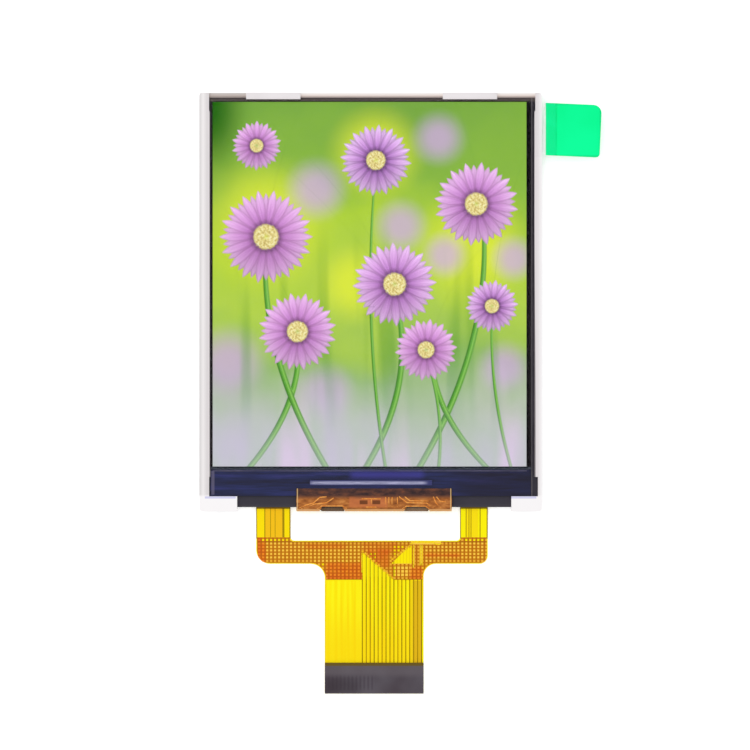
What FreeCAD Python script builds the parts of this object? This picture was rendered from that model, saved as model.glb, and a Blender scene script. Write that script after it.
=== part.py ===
import FreeCAD, Part
import math
import os
import re

import Sketcher

# A small colour display module, lying face up.
# Millimetres, +X to the right and +Y to the top of the picture, +Z out of the screen.
# The origin is at the middle of the frame's outline, on the surface the module lies on.

os.makedirs("parts", exist_ok=True)
doc = FreeCAD.newDocument("DisplayModule")

# Driving dimensions, in millimetres and degrees.
# Layers are named by their thickness, from the table up.
SIZES = {
    # flexible circuit
    "contact_count": 24,
    "contact_pitch": 0.5,
    "contact_width": 0.35,
    "contact_length": 3.2,
    "contact_inset": 0.1,
    "pad_thick": 0.02,
    "flex_thick": 0.1,
    "copper_thick": 0.02,
    "tail_centre": 0.45,
    "tail_length": 16.41,
    "bar_gap": 3.76,
    "bar_height": 2.93,
    "left_leg_inset": 7.12,
    "left_leg_width": 4.35,
    "right_leg_inset": 6.78,
    "right_leg_width": 3.51,
    "leg_drop_length": 3.0,
    "left_bend": 1.76,
    "right_bend": 1.05,
    "left_throat": 1.8,
    "right_throat": 1.56,
    "crook": 0.45,
    "body_root": 1.6,
    "body_height": 13.2,
    "body_corner": 0.8,
    "tongue_left_gap": 0.765,
    "tongue_right_gap": 1.075,
    "tongue_reach": 0.94,
    "fold_overhang": 0.02,
    "relief_width": 3.4,
    "relief_slant": 0.45,
    "left_relief_share": 0.231,
    "right_relief_share": 0.775,
    "relief_depth": 0.62,
    "stiffener_length": 3.9,
    "stiffener_thick": 0.2,
    # copper on the flex
    "copper_margin": 0.12,
    "pour_top_gap": 3.34,
    "pour_end_gap": 2.0,
    "hatch_across": 0.504,
    "hatch_down": 0.441,
    "hatch_hole": 0.25,
    "hatch_wide_hole": 0.34,
    "hatch_guard": 0.09,
    "solid_width": 2.0,
    "window_inset": 1.5,
    "window_width": 2.5,
    "window_drop": 0.6,
    "curl_gap": 2.41,
    "curl_width": 3.8,
    "curl_depth": 0.36,
    "trace_gap": 0.13,
    "trace_count": 15,
    # soldered parts
    "part_height": 0.3,
    "part_length": 1.0,
    "part_width": 0.5,
    "part_pitch": 2.6,
    "part_row_count": 8,
    "part_second_count": 4,
    "part_row_height": 4.2,
    "part_row_gap": 3.1,
    "joint_width": 0.8,
    "joint_length": 1.1,
    "joint_cap": 0.14,
    "joint_taper": 40,
    "joint_pitch": 1.9,
    "joint_count": 4,
    "joint_height": 1.15,
    "joint_gap": 0.03,
    # sheets of the light unit
    "glue_thick": 0.05,
    "glue_inset": 0.5,
    "reflector_thick": 0.07,
    "rear_rim": 0.55,
    "strip_gap": 0.15,
    "guide_thick": 0.5,
    "diffuser_thick": 0.06,
    "prism_thick": 0.065,
    "tape_thick": 0.05,
    "sheet_gap": 0.05,
    # lamps
    "led_count": 6,
    "led_side": 4.5,
    "led_width": 3.0,
    "led_depth": 0.9,
    "led_height": 0.45,
    "led_gap": 0.06,
    "led_window_width": 2.2,
    "led_window_height": 0.28,
    "led_window_depth": 0.2,
    # panel
    "rear_polarizer_thick": 0.12,
    "array_thick": 0.3,
    "cell_gap": 0.02,
    "filter_thick": 0.3,
    "front_polarizer_thick": 0.15,
    "glass_side_gap": 0.04,
    "glass_right_gap": 0.45,
    "glass_top_gap": 0.22,
    "array_low_gap": 0.05,
    "ledge_depth": 3.34,
    "picture_left": 0.28,
    "picture_right": 0.54,
    "picture_low": 0.37,
    "picture_top": 0.31,
    "polarizer_inset": 0.12,
    "chip_length": 15.4,
    "chip_width": 0.65,
    "chip_thick": 0.28,
    "chip_centre": 0.05,
    "chip_gap": 1.35,
    "bond_thick": 0.02,
    # moulded frame
    "frame_width": 43.2,
    "frame_height": 52.8,
    "frame_corner": 0.35,
    "left_wall": 1.36,
    "right_wall": 0.95,
    "top_wall": 0.63,
    "bottom_wall": 1.9,
    "wall_rise": 0.74,
    "rail_drop": 0.45,
    "tab_width": 6.85,
    "tab_reach": 0.19,
    "left_tab_gap": 4.545,
    "right_tab_gap": 4.695,
    "corner_relief": 0.13,
    "corner_relief_length": 1.7,
    "left_block_width": 4.77,
    "right_block_width": 3.85,
    "bar_setback": 0.52,
    "left_notch": 0.12,
    "right_notch": 0.45,
    "notch_height": 2.45,
    "nib_height": 0.88,
    "opening_side": 1.6,
    "opening_top": 0.27,
    "opening_bottom": 5.0,
    "window_margin": 0.06,
    # protective film and its tab
    "film_thick": 0.05,
    "film_corner": 0.6,
    "ear_height": 7.06,
    "ear_drop": 0.1,
    "ear_length": 3.4,
    "tab_tape_thick": 0.06,
    "tab_tape_width": 7.22,
    "tab_tape_height": 6.6,
    "tab_tape_turn": 2.5,
    "tab_tape_lap": 1.55,
    "tab_tape_drop": 0.22,
    "tab_tape_round": 1.05,
    "tab_tape_small_round": 0.5,
}

sheet = doc.addObject("Spreadsheet::Sheet", "Sizes")
for row, (alias, number) in enumerate(SIZES.items(), start=1):
    sheet.set(f"A{row}", alias.replace("_", " "))
    sheet.set(f"B{row}", str(number))
    sheet.setAlias(f"B{row}", alias)
doc.recompute()

parts = []


def size(words):
    """Number that an expression on the sheet's values gives."""
    return float(sheet.evalExpression(words))


def bound(words):
    """The same expression as an object of the document reads it."""
    return re.sub("[a-z_]+", lambda word: f"Sizes.{word[0]}" if word[0] in SIZES else word[0], words)


def add(*words):
    """Sum of expressions, each in brackets."""
    return " + ".join(f"({word})" for word in words)


def less(first, *words):
    """First expression less the others."""
    return " - ".join([f"({first})"] + [f"({word})" for word in words])


# Levels above the table.
REST = "pad_thick"
LIFT = "part_height"
GLUE = add(LIFT, "flex_thick")
BACK = add(GLUE, "glue_thick")
GUIDE = add(BACK, "reflector_thick")
DIFFUSER = add(GUIDE, "guide_thick")
LOWER_PRISM = add(DIFFUSER, "diffuser_thick")
UPPER_PRISM = add(LOWER_PRISM, "prism_thick")
SHELF = add(UPPER_PRISM, "prism_thick")
REAR_POLARIZER = add(SHELF, "tape_thick")
ARRAY = add(REAR_POLARIZER, "rear_polarizer_thick")
CELL = add(ARRAY, "array_thick")
FILTER = add(CELL, "cell_gap")
FRONT_POLARIZER = add(FILTER, "filter_thick")
FILM = add(FRONT_POLARIZER, "front_polarizer_thick")
TONGUE = add(CELL, "bond_thick")
WALL_TOP = add(SHELF, "wall_rise")

# Places across the frame.
FRAME_LEFT = "-frame_width / 2"
FRAME_RIGHT = "frame_width / 2"
FRAME_TOP = "frame_height / 2"
FRAME_BOTTOM = "-frame_height / 2"
POCKET_LEFT = add(FRAME_LEFT, "left_wall")
POCKET_RIGHT = less(FRAME_RIGHT, "right_wall")
POCKET_TOP = less(FRAME_TOP, "top_wall")
POCKET_BOTTOM = add(FRAME_BOTTOM, "bottom_wall")
BAR_FACE = add(FRAME_BOTTOM, "bar_setback")
NOTCH_TOP = add(POCKET_BOTTOM, "notch_height")
BLOCK_LEFT = add(FRAME_LEFT, "left_block_width")
BLOCK_RIGHT = less(FRAME_RIGHT, "right_block_width")
LEFT_TAB = add(POCKET_LEFT, "left_tab_gap")
RIGHT_TAB = less(POCKET_RIGHT, "right_tab_gap", "tab_width")

# Places of the panel.
GLASS_LEFT = add(POCKET_LEFT, "glass_side_gap")
GLASS_RIGHT = less(POCKET_RIGHT, "glass_right_gap")
GLASS_TOP = less(POCKET_TOP, "glass_top_gap")
ARRAY_BOTTOM = add(POCKET_BOTTOM, "array_low_gap")
FILTER_BOTTOM = add(ARRAY_BOTTOM, "ledge_depth")
PICTURE_LEFT = add(GLASS_LEFT, "picture_left")
PICTURE_RIGHT = less(GLASS_RIGHT, "picture_right")
PICTURE_TOP = less(GLASS_TOP, "picture_top")
PICTURE_BOTTOM = add(FILTER_BOTTOM, "picture_low")

# Places of the light unit.
OPENING_LEFT = add(FRAME_LEFT, "opening_side")
OPENING_RIGHT = less(FRAME_RIGHT, "opening_side")
OPENING_TOP = less(POCKET_TOP, "opening_top")
OPENING_BOTTOM = add(FRAME_BOTTOM, "opening_bottom")
LED_PITCH = f"({less(OPENING_RIGHT, OPENING_LEFT, '2 * led_side')}) / (led_count - 1)"

# Places of the flexible circuit.
TAIL_WIDTH = "(contact_count + 1) * contact_pitch"
TAIL_LEFT = less("tail_centre", f"({TAIL_WIDTH}) / 2")
TAIL_RIGHT = add("tail_centre", f"({TAIL_WIDTH}) / 2")
BAR_TOP = less(FRAME_BOTTOM, "bar_gap")
BAR_BOTTOM = less(BAR_TOP, "bar_height")
TAIL_END = less(BAR_BOTTOM, "tail_length")
LEG_FLAT = less(FRAME_BOTTOM, "leg_drop_length")
POUR_TOP = less(FRAME_BOTTOM, "pour_top_gap")
POUR_END = less(BAR_BOTTOM, "pour_end_gap")
LEFT_LEG_OUT = add(FRAME_LEFT, "left_leg_inset")
LEFT_LEG_IN = add(LEFT_LEG_OUT, "left_leg_width")
RIGHT_LEG_OUT = less(FRAME_RIGHT, "right_leg_inset")
RIGHT_LEG_IN = less(RIGHT_LEG_OUT, "right_leg_width")
TONGUE_LEFT = add(LEFT_LEG_IN, "tongue_left_gap")
TONGUE_RIGHT = less(RIGHT_LEG_IN, "tongue_right_gap")
TONGUE_WIDTH = less(TONGUE_RIGHT, TONGUE_LEFT)
TONGUE_MIDDLE = f"({add(TONGUE_LEFT, TONGUE_RIGHT)}) / 2"
TONGUE_END = add(ARRAY_BOTTOM, "tongue_reach")
FOLD_OUTER = f"({less(add(TONGUE, 'flex_thick'), LIFT)}) / 2"
FOLD_INNER = less(FOLD_OUTER, "flex_thick")
FOLD_LEVEL = add(LIFT, FOLD_OUTER)
FOLD_MIDDLE = less(add(FRAME_BOTTOM, FOLD_OUTER), "fold_overhang")
BODY_BOTTOM = add(FRAME_BOTTOM, "body_root")
BODY_TOP = add(BODY_BOTTOM, "body_height")
JOINT_ROW = add(BODY_BOTTOM, "joint_height")


def new_body(label, x=None, y=None, level=None, turn=None):
    """An empty body whose Placement is bound to the sheet."""
    body = doc.addObject("PartDesign::Body", label)
    body.Label = label
    if turn:
        body.Placement = FreeCAD.Placement(FreeCAD.Vector(), FreeCAD.Rotation(FreeCAD.Vector(0, 0, 1), 1))
        body.setExpression("Placement.Rotation.Angle", bound(turn) + " * 1 deg")
    for axis, words in (("x", x), ("y", y), ("z", level)):
        if words:
            body.setExpression(f"Placement.Base.{axis}", bound(words))
    parts.append(body)
    return body


def new_sketch(body, label, loops, role="XY_Plane", lift=None, middle=None):
    """A sketch of closed outlines. Each corner is a pair of expressions that hold it."""
    sketch = body.newObject("Sketcher::SketchObject", label)
    plane = [feature for feature in body.Origin.OriginFeatures if feature.Role == role][0]
    sketch.AttachmentSupport = (plane, [""])
    sketch.MapMode = "FlatFace"
    if lift:
        sketch.setExpression("AttachmentOffset.Base.z", bound(lift))
    if middle:
        sketch.setExpression("AttachmentOffset.Base.x", bound(middle[0]))
        sketch.setExpression("AttachmentOffset.Base.y", bound(middle[1]))
    for corners in loops:
        points = [FreeCAD.Vector(size(across), size(along), 0) for across, along in corners]
        first = sketch.GeometryCount
        count = len(points)
        for step in range(count):
            line = Part.LineSegment(points[step], points[(step + 1) % count])
            sketch.addGeometry(line, False)
        for step in range(count):
            following = first + (step + 1) % count
            sketch.addConstraint(Sketcher.Constraint("Coincident", first + step, 2, following, 1))
        for step, (across, along) in enumerate(corners):
            hold_point(sketch, first + step, 1, across, along)
    return sketch


def hold_point(sketch, geometry, point, across, along):
    """Ties one point of a sketch to the sheet, measured from the sketch's origin."""
    for kind, words in (("DistanceX", across), ("DistanceY", along)):
        held = sketch.addConstraint(Sketcher.Constraint(kind, -1, 1, geometry, point, size(words)))
        sketch.setExpression(f"Constraints[{held}]", bound(words))


def rectangle(left, right, bottom, top):
    return [(left, bottom), (right, bottom), (right, top), (left, top)]


def pad(body, label, sketch, length, reverse=False):
    feature = body.newObject("PartDesign::Pad", label)
    feature.Profile = (sketch, [""])
    feature.setExpression("Length", bound(length))
    feature.Reversed = reverse
    return feature


def pocket(body, label, sketch, depth=None, upwards=False):
    """Cuts along the sketch's normal or against it, all the way where no depth is given."""
    feature = body.newObject("PartDesign::Pocket", label)
    feature.Profile = (sketch, [""])
    if depth:
        feature.setExpression("Length", bound(depth))
    else:
        feature.Type = "ThroughAll"
    feature.Reversed = upwards
    return feature


def upright_edges(feature, corners):
    """Names of the edges that stand at the given corners."""
    names = []
    for across, along in corners:
        spot = FreeCAD.Vector(size(across), size(along), 0)
        for number, edge in enumerate(feature.Shape.Edges, start=1):
            ends = [FreeCAD.Vector(vertex.X, vertex.Y, 0) for vertex in edge.Vertexes]
            if all(end.distanceToPoint(spot) < 1e-4 for end in ends):
                names.append(f"Edge{number}")
    return names


def round_corners(body, label, feature, corners, radius):
    """Rounds the upright edges at the given corners."""
    doc.recompute()
    fillet = body.newObject("PartDesign::Fillet", label)
    fillet.Base = (feature, upright_edges(feature, corners))
    fillet.setExpression("Radius", bound(radius))
    return fillet


def spread(body, label, features, length, count, along="X_Axis"):
    """Repeats features in a straight row over a length."""
    row = body.newObject("PartDesign::LinearPattern", label)
    row.Originals = features
    axis = [feature for feature in body.Origin.OriginFeatures if feature.Role == along][0]
    row.Direction = (axis, [""])
    row.setExpression("Length", bound(length))
    row.setExpression("Occurrences", bound(count))
    body.Tip = row
    return row


def plate(label, loops, level, thick, **place):
    """A flat piece of one thickness."""
    body = new_body(label, level=level, **place)
    pad(body, label + "_sheet", new_sketch(body, label + "_outline", loops), thick)
    return body


# Moulded frame

def pocket_outline(gap="0"):
    """Outline of the glass pocket and of the band in front of it, drawn in by a gap."""
    left = add(POCKET_LEFT, gap)
    right = less(POCKET_RIGHT, gap)
    top = less(POCKET_TOP, gap)
    bottom = add(POCKET_BOTTOM, gap)
    band = add(BAR_FACE, gap)
    relief_left = less(left, "corner_relief")
    relief_right = add(right, "corner_relief")
    relief_bottom = less(top, "corner_relief_length")
    notch_left = less(left, "left_notch")
    notch_right = add(right, "right_notch")
    corners = [(relief_left, top)]
    for tab in (LEFT_TAB, RIGHT_TAB):
        start = less(tab, gap)
        end = add(tab, "tab_width", gap)
        corners += [(start, top), (start, less(top, "tab_reach")), (end, less(top, "tab_reach")), (end, top)]
    corners += [
        (relief_right, top),
        (relief_right, relief_bottom),
        (right, relief_bottom),
        (right, NOTCH_TOP),
        (notch_right, NOTCH_TOP),
        (notch_right, bottom),
        (less(BLOCK_RIGHT, gap), bottom),
        (less(BLOCK_RIGHT, gap), band),
        (add(BLOCK_LEFT, gap), band),
        (add(BLOCK_LEFT, gap), bottom),
        (notch_left, bottom),
        (notch_left, NOTCH_TOP),
        (add(left, "glass_side_gap"), NOTCH_TOP),
        (add(left, "glass_side_gap"), add(NOTCH_TOP, "nib_height")),
        (left, add(NOTCH_TOP, "nib_height")),
        (left, relief_bottom),
        (relief_left, relief_bottom),
    ]
    return corners


def led_place(number):
    """Middle of a lamp across the frame."""
    return f"({number} - (led_count - 1) / 2) * ({LED_PITCH})"


def make_mould_frame():
    body = new_body("mould_frame", level=BACK)
    frame_rise = less(WALL_TOP, BACK)
    outline = rectangle(FRAME_LEFT, FRAME_RIGHT, FRAME_BOTTOM, FRAME_TOP)
    block = pad(body, "block", new_sketch(body, "outline", [outline]), frame_rise)
    corners = round_corners(body, "outer_corners", block, outline, "frame_corner")
    top = new_sketch(body, "pocket_outline", [pocket_outline()], lift=frame_rise)
    pocket(body, "glass_pocket", top, "wall_rise")
    opening = new_sketch(
        body,
        "opening_outline",
        [rectangle(OPENING_LEFT, OPENING_RIGHT, OPENING_BOTTOM, OPENING_TOP)],
        lift=frame_rise,
    )
    pocket(body, "light_opening", opening)
    rail_left = less(POCKET_LEFT, "corner_relief")
    rail_right = add(POCKET_RIGHT, "corner_relief")
    rail_bottom = less(POCKET_TOP, "tab_reach")
    stops = [
        rail_left,
        LEFT_TAB,
        add(LEFT_TAB, "tab_width"),
        RIGHT_TAB,
        add(RIGHT_TAB, "tab_width"),
        rail_right,
    ]
    rails = [rectangle(stops[pair], stops[pair + 1], rail_bottom, add(FRAME_TOP, "top_wall")) for pair in (0, 2, 4)]
    pocket(body, "rails", new_sketch(body, "rail_outline", rails, lift=frame_rise), "rail_drop")
    setback = rectangle(BLOCK_LEFT, BLOCK_RIGHT, less(FRAME_BOTTOM, "bar_setback"), BAR_FACE)
    pocket(body, "setback", new_sketch(body, "setback_outline", [setback], lift=frame_rise))
    rear = rectangle(
        add(FRAME_LEFT, "rear_rim"),
        less(FRAME_RIGHT, "rear_rim"),
        add(BAR_FACE, "rear_rim"),
        less(FRAME_TOP, "rear_rim"),
    )
    pocket(body, "rear_recess", new_sketch(body, "rear_outline", [rear]), "reflector_thick", upwards=True)
    sockets = []
    for number in range(int(size("led_count"))):
        half = add("led_width / 2", "led_gap")
        sockets.append(
            rectangle(
                less(led_place(number), half),
                add(led_place(number), half),
                less(OPENING_BOTTOM, "led_depth", "led_gap"),
                add(OPENING_BOTTOM, "led_gap"),
            )
        )
    depth = add("reflector_thick", "led_height", "led_gap")
    pocket(body, "lamp_sockets", new_sketch(body, "socket_outline", sockets), depth, upwards=True)


# Light unit

def make_light_unit():
    rear_left = add(FRAME_LEFT, "rear_rim", "sheet_gap")
    rear_right = less(FRAME_RIGHT, "rear_rim", "sheet_gap")
    rear_top = less(FRAME_TOP, "rear_rim", "sheet_gap")
    rear_bottom = add(BAR_FACE, "rear_rim", "sheet_gap")
    strip_top = less(OPENING_BOTTOM, "sheet_gap")
    reflector = rectangle(rear_left, rear_right, add(strip_top, "strip_gap"), rear_top)
    plate("reflector_sheet", [reflector], BACK, "reflector_thick")
    plate("led_flex", [rectangle(rear_left, rear_right, rear_bottom, strip_top)], BACK, "reflector_thick")

    sheet_left = add(OPENING_LEFT, "sheet_gap")
    sheet_right = less(OPENING_RIGHT, "sheet_gap")
    sheet_top = less(OPENING_TOP, "sheet_gap")
    sheet_bottom = add(OPENING_BOTTOM, "sheet_gap")
    inner = rectangle(sheet_left, sheet_right, sheet_bottom, sheet_top)
    plate("light_guide", [inner], GUIDE, "guide_thick")
    plate("diffuser_film", [inner], DIFFUSER, "diffuser_thick")
    plate("lower_prism_film", [inner], LOWER_PRISM, "prism_thick")
    plate("upper_prism_film", [inner], UPPER_PRISM, "prism_thick")

    for number in range(int(size("led_count"))):
        label = f"led_{number + 1}"
        body = new_body(label, x=led_place(number), y=less(OPENING_BOTTOM, "led_gap / 2"), level=GUIDE)
        case = rectangle("-led_width / 2", "led_width / 2", "-led_depth", "-led_gap / 2")
        pad(body, label + "_case", new_sketch(body, label + "_outline", [case]), "led_height")
        middle = "led_height / 2"
        mouth = rectangle(
            "-led_window_width / 2",
            "led_window_width / 2",
            less(middle, "led_window_height / 2"),
            add(middle, "led_window_height / 2"),
        )
        face = new_sketch(body, label + "_mouth", [mouth], role="XZ_Plane", lift="led_gap / 2")
        pocket(body, label + "_window", face, "led_window_depth", upwards=True)


def make_rim_tape():
    window = rectangle(
        less(PICTURE_LEFT, "window_margin"),
        add(PICTURE_RIGHT, "window_margin"),
        less(PICTURE_BOTTOM, "window_margin"),
        add(PICTURE_TOP, "window_margin"),
    )
    plate("rim_tape", [pocket_outline(), window], SHELF, "tape_thick")


# Panel

def make_panel():
    array = rectangle(GLASS_LEFT, GLASS_RIGHT, ARRAY_BOTTOM, GLASS_TOP)
    top_glass = rectangle(GLASS_LEFT, GLASS_RIGHT, FILTER_BOTTOM, GLASS_TOP)
    picture = rectangle(PICTURE_LEFT, PICTURE_RIGHT, PICTURE_BOTTOM, PICTURE_TOP)
    polarizer = rectangle(
        add(GLASS_LEFT, "polarizer_inset"),
        less(GLASS_RIGHT, "polarizer_inset"),
        add(FILTER_BOTTOM, "polarizer_inset"),
        less(GLASS_TOP, "polarizer_inset"),
    )
    plate("rear_polarizer", [polarizer], REAR_POLARIZER, "rear_polarizer_thick")
    plate("array_glass", [array], ARRAY, "array_thick")
    plate("cell_seal", [top_glass, picture], CELL, "cell_gap")
    plate("filter_glass", [top_glass], FILTER, "filter_thick")
    plate("front_polarizer", [polarizer], FRONT_POLARIZER, "front_polarizer_thick")

    chip_top = less(FILTER_BOTTOM, "chip_gap")
    chip = rectangle(
        less("chip_centre", "chip_length / 2"),
        add("chip_centre", "chip_length / 2"),
        less(chip_top, "chip_width"),
        chip_top,
    )
    plate("driver_chip", [chip], CELL, "chip_thick")
    bond = rectangle(TONGUE_LEFT, TONGUE_RIGHT, ARRAY_BOTTOM, TONGUE_END)
    plate("bond_film", [bond], CELL, "bond_thick")


# Picture in the liquid crystal: plain blossoms on blades before soft discs of light.
# Places are shares of the picture's width and height from its lower left corner.
GLOWS = ((0.17, 0.66, 0.17), (0.52, 0.86, 0.12), (0.83, 0.60, 0.15), (0.45, 0.50, 0.10))
HAZE_BUMPS = ((0.0, 0.09), (0.22, 0.15), (0.47, 0.10), (0.72, 0.16), (1.0, 0.11))
BLADES = (
    (0.12, 0.27, 0.36, 0.05),
    (0.36, 0.17, 0.62, -0.06),
    (0.49, 0.58, 0.47, 0.06),
    (0.66, 0.86, 0.70, 0.07),
    (0.87, 0.70, 0.33, -0.05),
)
HAZE_CROWN = 0.03
BLADE_HALF = 0.012
PETAL_VALLEY = 0.5
PETAL_SHOULDER = 0.84
PETAL_FULLNESS = 0.3
HEART_SHARE = 0.3
HEART_SIDES = 14
GLOW_SIDES = 28
ARC_POINTS = 7
BLOSSOMS = (
    (0.27, 0.37, 0.125, 8, 10),
    (0.17, 0.63, 0.150, 9, 0),
    (0.58, 0.50, 0.135, 8, 25),
    (0.84, 0.72, 0.135, 8, 15),
    (0.52, 0.84, 0.115, 8, 40),
    (0.68, 0.32, 0.100, 7, 5),
    (0.89, 0.44, 0.085, 7, 30),
    (0.14, 0.88, 0.080, 7, 12),
)


def blossom_points(centre, reach, count, turn):
    """Outline of a blossom: each petal rises from a valley over two shoulders to its tip."""
    points = []
    for number in range(count):
        for step, share in (
            (-0.5, PETAL_VALLEY),
            (-PETAL_FULLNESS, PETAL_SHOULDER),
            (0, 1),
            (PETAL_FULLNESS, PETAL_SHOULDER),
        ):
            angle = math.radians(turn + 360 * (number + step) / count)
            points.append(centre + FreeCAD.Vector(math.cos(angle), math.sin(angle), 0) * (reach * share))
    return points


def disc_points(centre, radius, sides):
    """Outline of a disc."""
    turns = [2 * math.pi * side / sides for side in range(sides)]
    return [centre + FreeCAD.Vector(math.cos(turn), math.sin(turn), 0) * radius for turn in turns]


def arc_points(start, crown, end):
    """Points along an arc, from its start to just before its end."""
    return Part.Arc(start, crown, end).toShape().discretize(ARC_POINTS)[:-1]


def make_picture():
    left, bottom = size(PICTURE_LEFT), size(PICTURE_BOTTOM)
    width, height = size(PICTURE_RIGHT) - left, size(PICTURE_TOP) - bottom

    def spot(across, along):
        return FreeCAD.Vector(left + across * width, bottom + along * height, 0)

    def slab(points):
        return Part.Face(Part.makePolygon(points + points[:1])).extrude(FreeCAD.Vector(0, 0, size("cell_gap")))

    field = Part.makeBox(width, height, size("cell_gap"), spot(0, 0))
    glows = [slab(disc_points(spot(across, along), share * width, GLOW_SIDES)) for across, along, share in GLOWS]
    haze = [spot(0, 0), spot(1, 0)]
    for (start, low), (end, high) in zip(HAZE_BUMPS[::-1], HAZE_BUMPS[-2::-1]):
        crown = spot((start + end) / 2, (low + high) / 2 + HAZE_CROWN)
        haze += arc_points(spot(start, low), crown, spot(end, high))
    haze.append(spot(*HAZE_BUMPS[0]))
    blades = []
    for foot, tip, reach, bow in BLADES:
        rise = reach / 2
        lean = (foot + tip) / 2 + bow
        left_foot, right_foot = spot(foot - BLADE_HALF, 0), spot(foot + BLADE_HALF, 0)
        left_side = arc_points(left_foot, spot(lean - BLADE_HALF, rise), spot(tip, reach))
        right_side = arc_points(spot(tip, reach), spot(lean + BLADE_HALF, rise), right_foot)
        blades.append(slab(left_side + right_side + [right_foot]))
    petals, hearts = [], []
    for across, along, share, count, turn in BLOSSOMS:
        centre = spot(across, along)
        reach = share * width
        petals.append(slab(blossom_points(centre, reach, count, turn)))
        hearts.append(slab(disc_points(centre, reach * HEART_SHARE, HEART_SIDES)))

    layers = [
        ("picture_hearts", hearts),
        ("picture_petals", petals),
        ("picture_blades", blades),
        ("picture_haze", [slab(haze)]),
        ("picture_glow", glows),
        ("picture_ground", [field]),
    ]
    covered = None
    for label, slabs in layers:
        shape = slabs[0].fuse(slabs[1:]) if len(slabs) > 1 else slabs[0]
        shape = shape.common(field)
        if covered is not None:
            shape = shape.cut(covered)
        shape = shape.removeSplitter()
        covered = shape if covered is None else covered.fuse(shape)
        set_feature(label, shape, size(CELL))


def set_feature(label, shape, level):
    """A piece whose outline is drawn by a formula, set at its level."""
    feature = doc.addObject("Part::Feature", label)
    feature.Label = label
    feature.Shape = shape
    feature.Placement = FreeCAD.Placement(FreeCAD.Vector(0, 0, level), FreeCAD.Rotation())
    parts.append(feature)


# Flexible circuit: one folded sheet

def leg_profile(low, thick, start, end=None):
    """Side view of a strip on a leg, from behind the panel down to the table and on to an end."""
    foot = [(LEG_FLAT, add(REST, low, thick)), (LEG_FLAT, add(REST, low))]
    if end:
        foot[1:1] = [(end, add(REST, low, thick)), (end, add(REST, low))]
    return [
        (start, add(LIFT, low)),
        (start, add(LIFT, low, thick)),
        (FRAME_BOTTOM, add(LIFT, low, thick)),
        *foot,
        (FRAME_BOTTOM, add(LIFT, low)),
    ]


def make_main_flex():
    body = new_body("main_flex")
    bar = [
        (LEFT_LEG_OUT, LEG_FLAT),
        (LEFT_LEG_IN, LEG_FLAT),
        (LEFT_LEG_IN, BAR_TOP),
        (RIGHT_LEG_IN, BAR_TOP),
        (RIGHT_LEG_IN, LEG_FLAT),
        (RIGHT_LEG_OUT, LEG_FLAT),
        (RIGHT_LEG_OUT, BAR_BOTTOM),
        (TAIL_RIGHT, BAR_BOTTOM),
        (TAIL_RIGHT, TAIL_END),
        (TAIL_LEFT, TAIL_END),
        (TAIL_LEFT, BAR_BOTTOM),
        (LEFT_LEG_OUT, BAR_BOTTOM),
    ]
    feature = pad(body, "bar_and_tail", new_sketch(body, "bar_outline", [bar], lift=REST), "flex_thick")
    rounds = (
        ("crooks", [bar[2], bar[3]], "crook"),
        ("left_bend_round", [bar[11]], "left_bend"),
        ("right_bend_round", [bar[6]], "right_bend"),
        ("left_throat_round", [bar[10]], "left_throat"),
        ("right_throat_round", [bar[7]], "right_throat"),
    )
    for label, corners, radius in rounds:
        feature = round_corners(body, label, feature, corners, radius)
    legs = (
        ("left_leg", LEFT_LEG_OUT, "left_leg_width"),
        ("right_leg", RIGHT_LEG_IN, "right_leg_width"),
    )
    for label, start, width in legs:
        profile = leg_profile("0", "flex_thick", BODY_BOTTOM)
        pad(body, label, new_sketch(body, label + "_profile", [profile], role="YZ_Plane", lift=start), width)
    back = [
        (LEFT_LEG_OUT, BODY_BOTTOM),
        (TONGUE_LEFT, BODY_BOTTOM),
        (TONGUE_LEFT, FOLD_MIDDLE),
        (TONGUE_RIGHT, FOLD_MIDDLE),
        (TONGUE_RIGHT, BODY_BOTTOM),
        (RIGHT_LEG_OUT, BODY_BOTTOM),
        (RIGHT_LEG_OUT, BODY_TOP),
        (LEFT_LEG_OUT, BODY_TOP),
    ]
    wings = pad(body, "back_body", new_sketch(body, "back_outline", [back] + joint_holes(), lift=LIFT), "flex_thick")
    round_corners(body, "back_corners", wings, back[6:], "body_corner")
    section = rectangle(TONGUE_LEFT, TONGUE_RIGHT, FOLD_INNER, FOLD_OUTER)
    ring = new_sketch(
        body, "fold_section", [section], role="XZ_Plane", lift=f"-({FOLD_MIDDLE})", middle=("0", FOLD_LEVEL)
    )
    fold = body.newObject("PartDesign::Revolution", "fold")
    fold.Profile = (ring, [""])
    fold.ReferenceAxis = (ring, ["H_Axis"])
    fold.Angle = 180
    front = rectangle(TONGUE_LEFT, TONGUE_RIGHT, FOLD_MIDDLE, TONGUE_END)
    pad(body, "tongue", new_sketch(body, "tongue_outline", [front], lift=TONGUE), "flex_thick")
    slots = []
    low = less(FRAME_BOTTOM, "fold_overhang", "flex_thick")
    high = add(FRAME_BOTTOM, "relief_depth")
    for share in ("left_relief_share", "right_relief_share"):
        centre = add(TONGUE_LEFT, f"({TONGUE_WIDTH}) * {share}")
        start = less(centre, "relief_width / 2")
        end = add(centre, "relief_width / 2")
        slots.append([(start, low), (end, low), (less(end, "relief_slant"), high), (add(start, "relief_slant"), high)])
    cut = new_sketch(body, "relief_outline", slots, lift=add(TONGUE, "flex_thick", "flex_thick"))
    pocket(body, "fold_reliefs", cut)


def joint_place(number):
    """Middle of a soldered joint across the flex."""
    return add(TONGUE_MIDDLE, f"({number} - (joint_count - 1) / 2) * joint_pitch")


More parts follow.
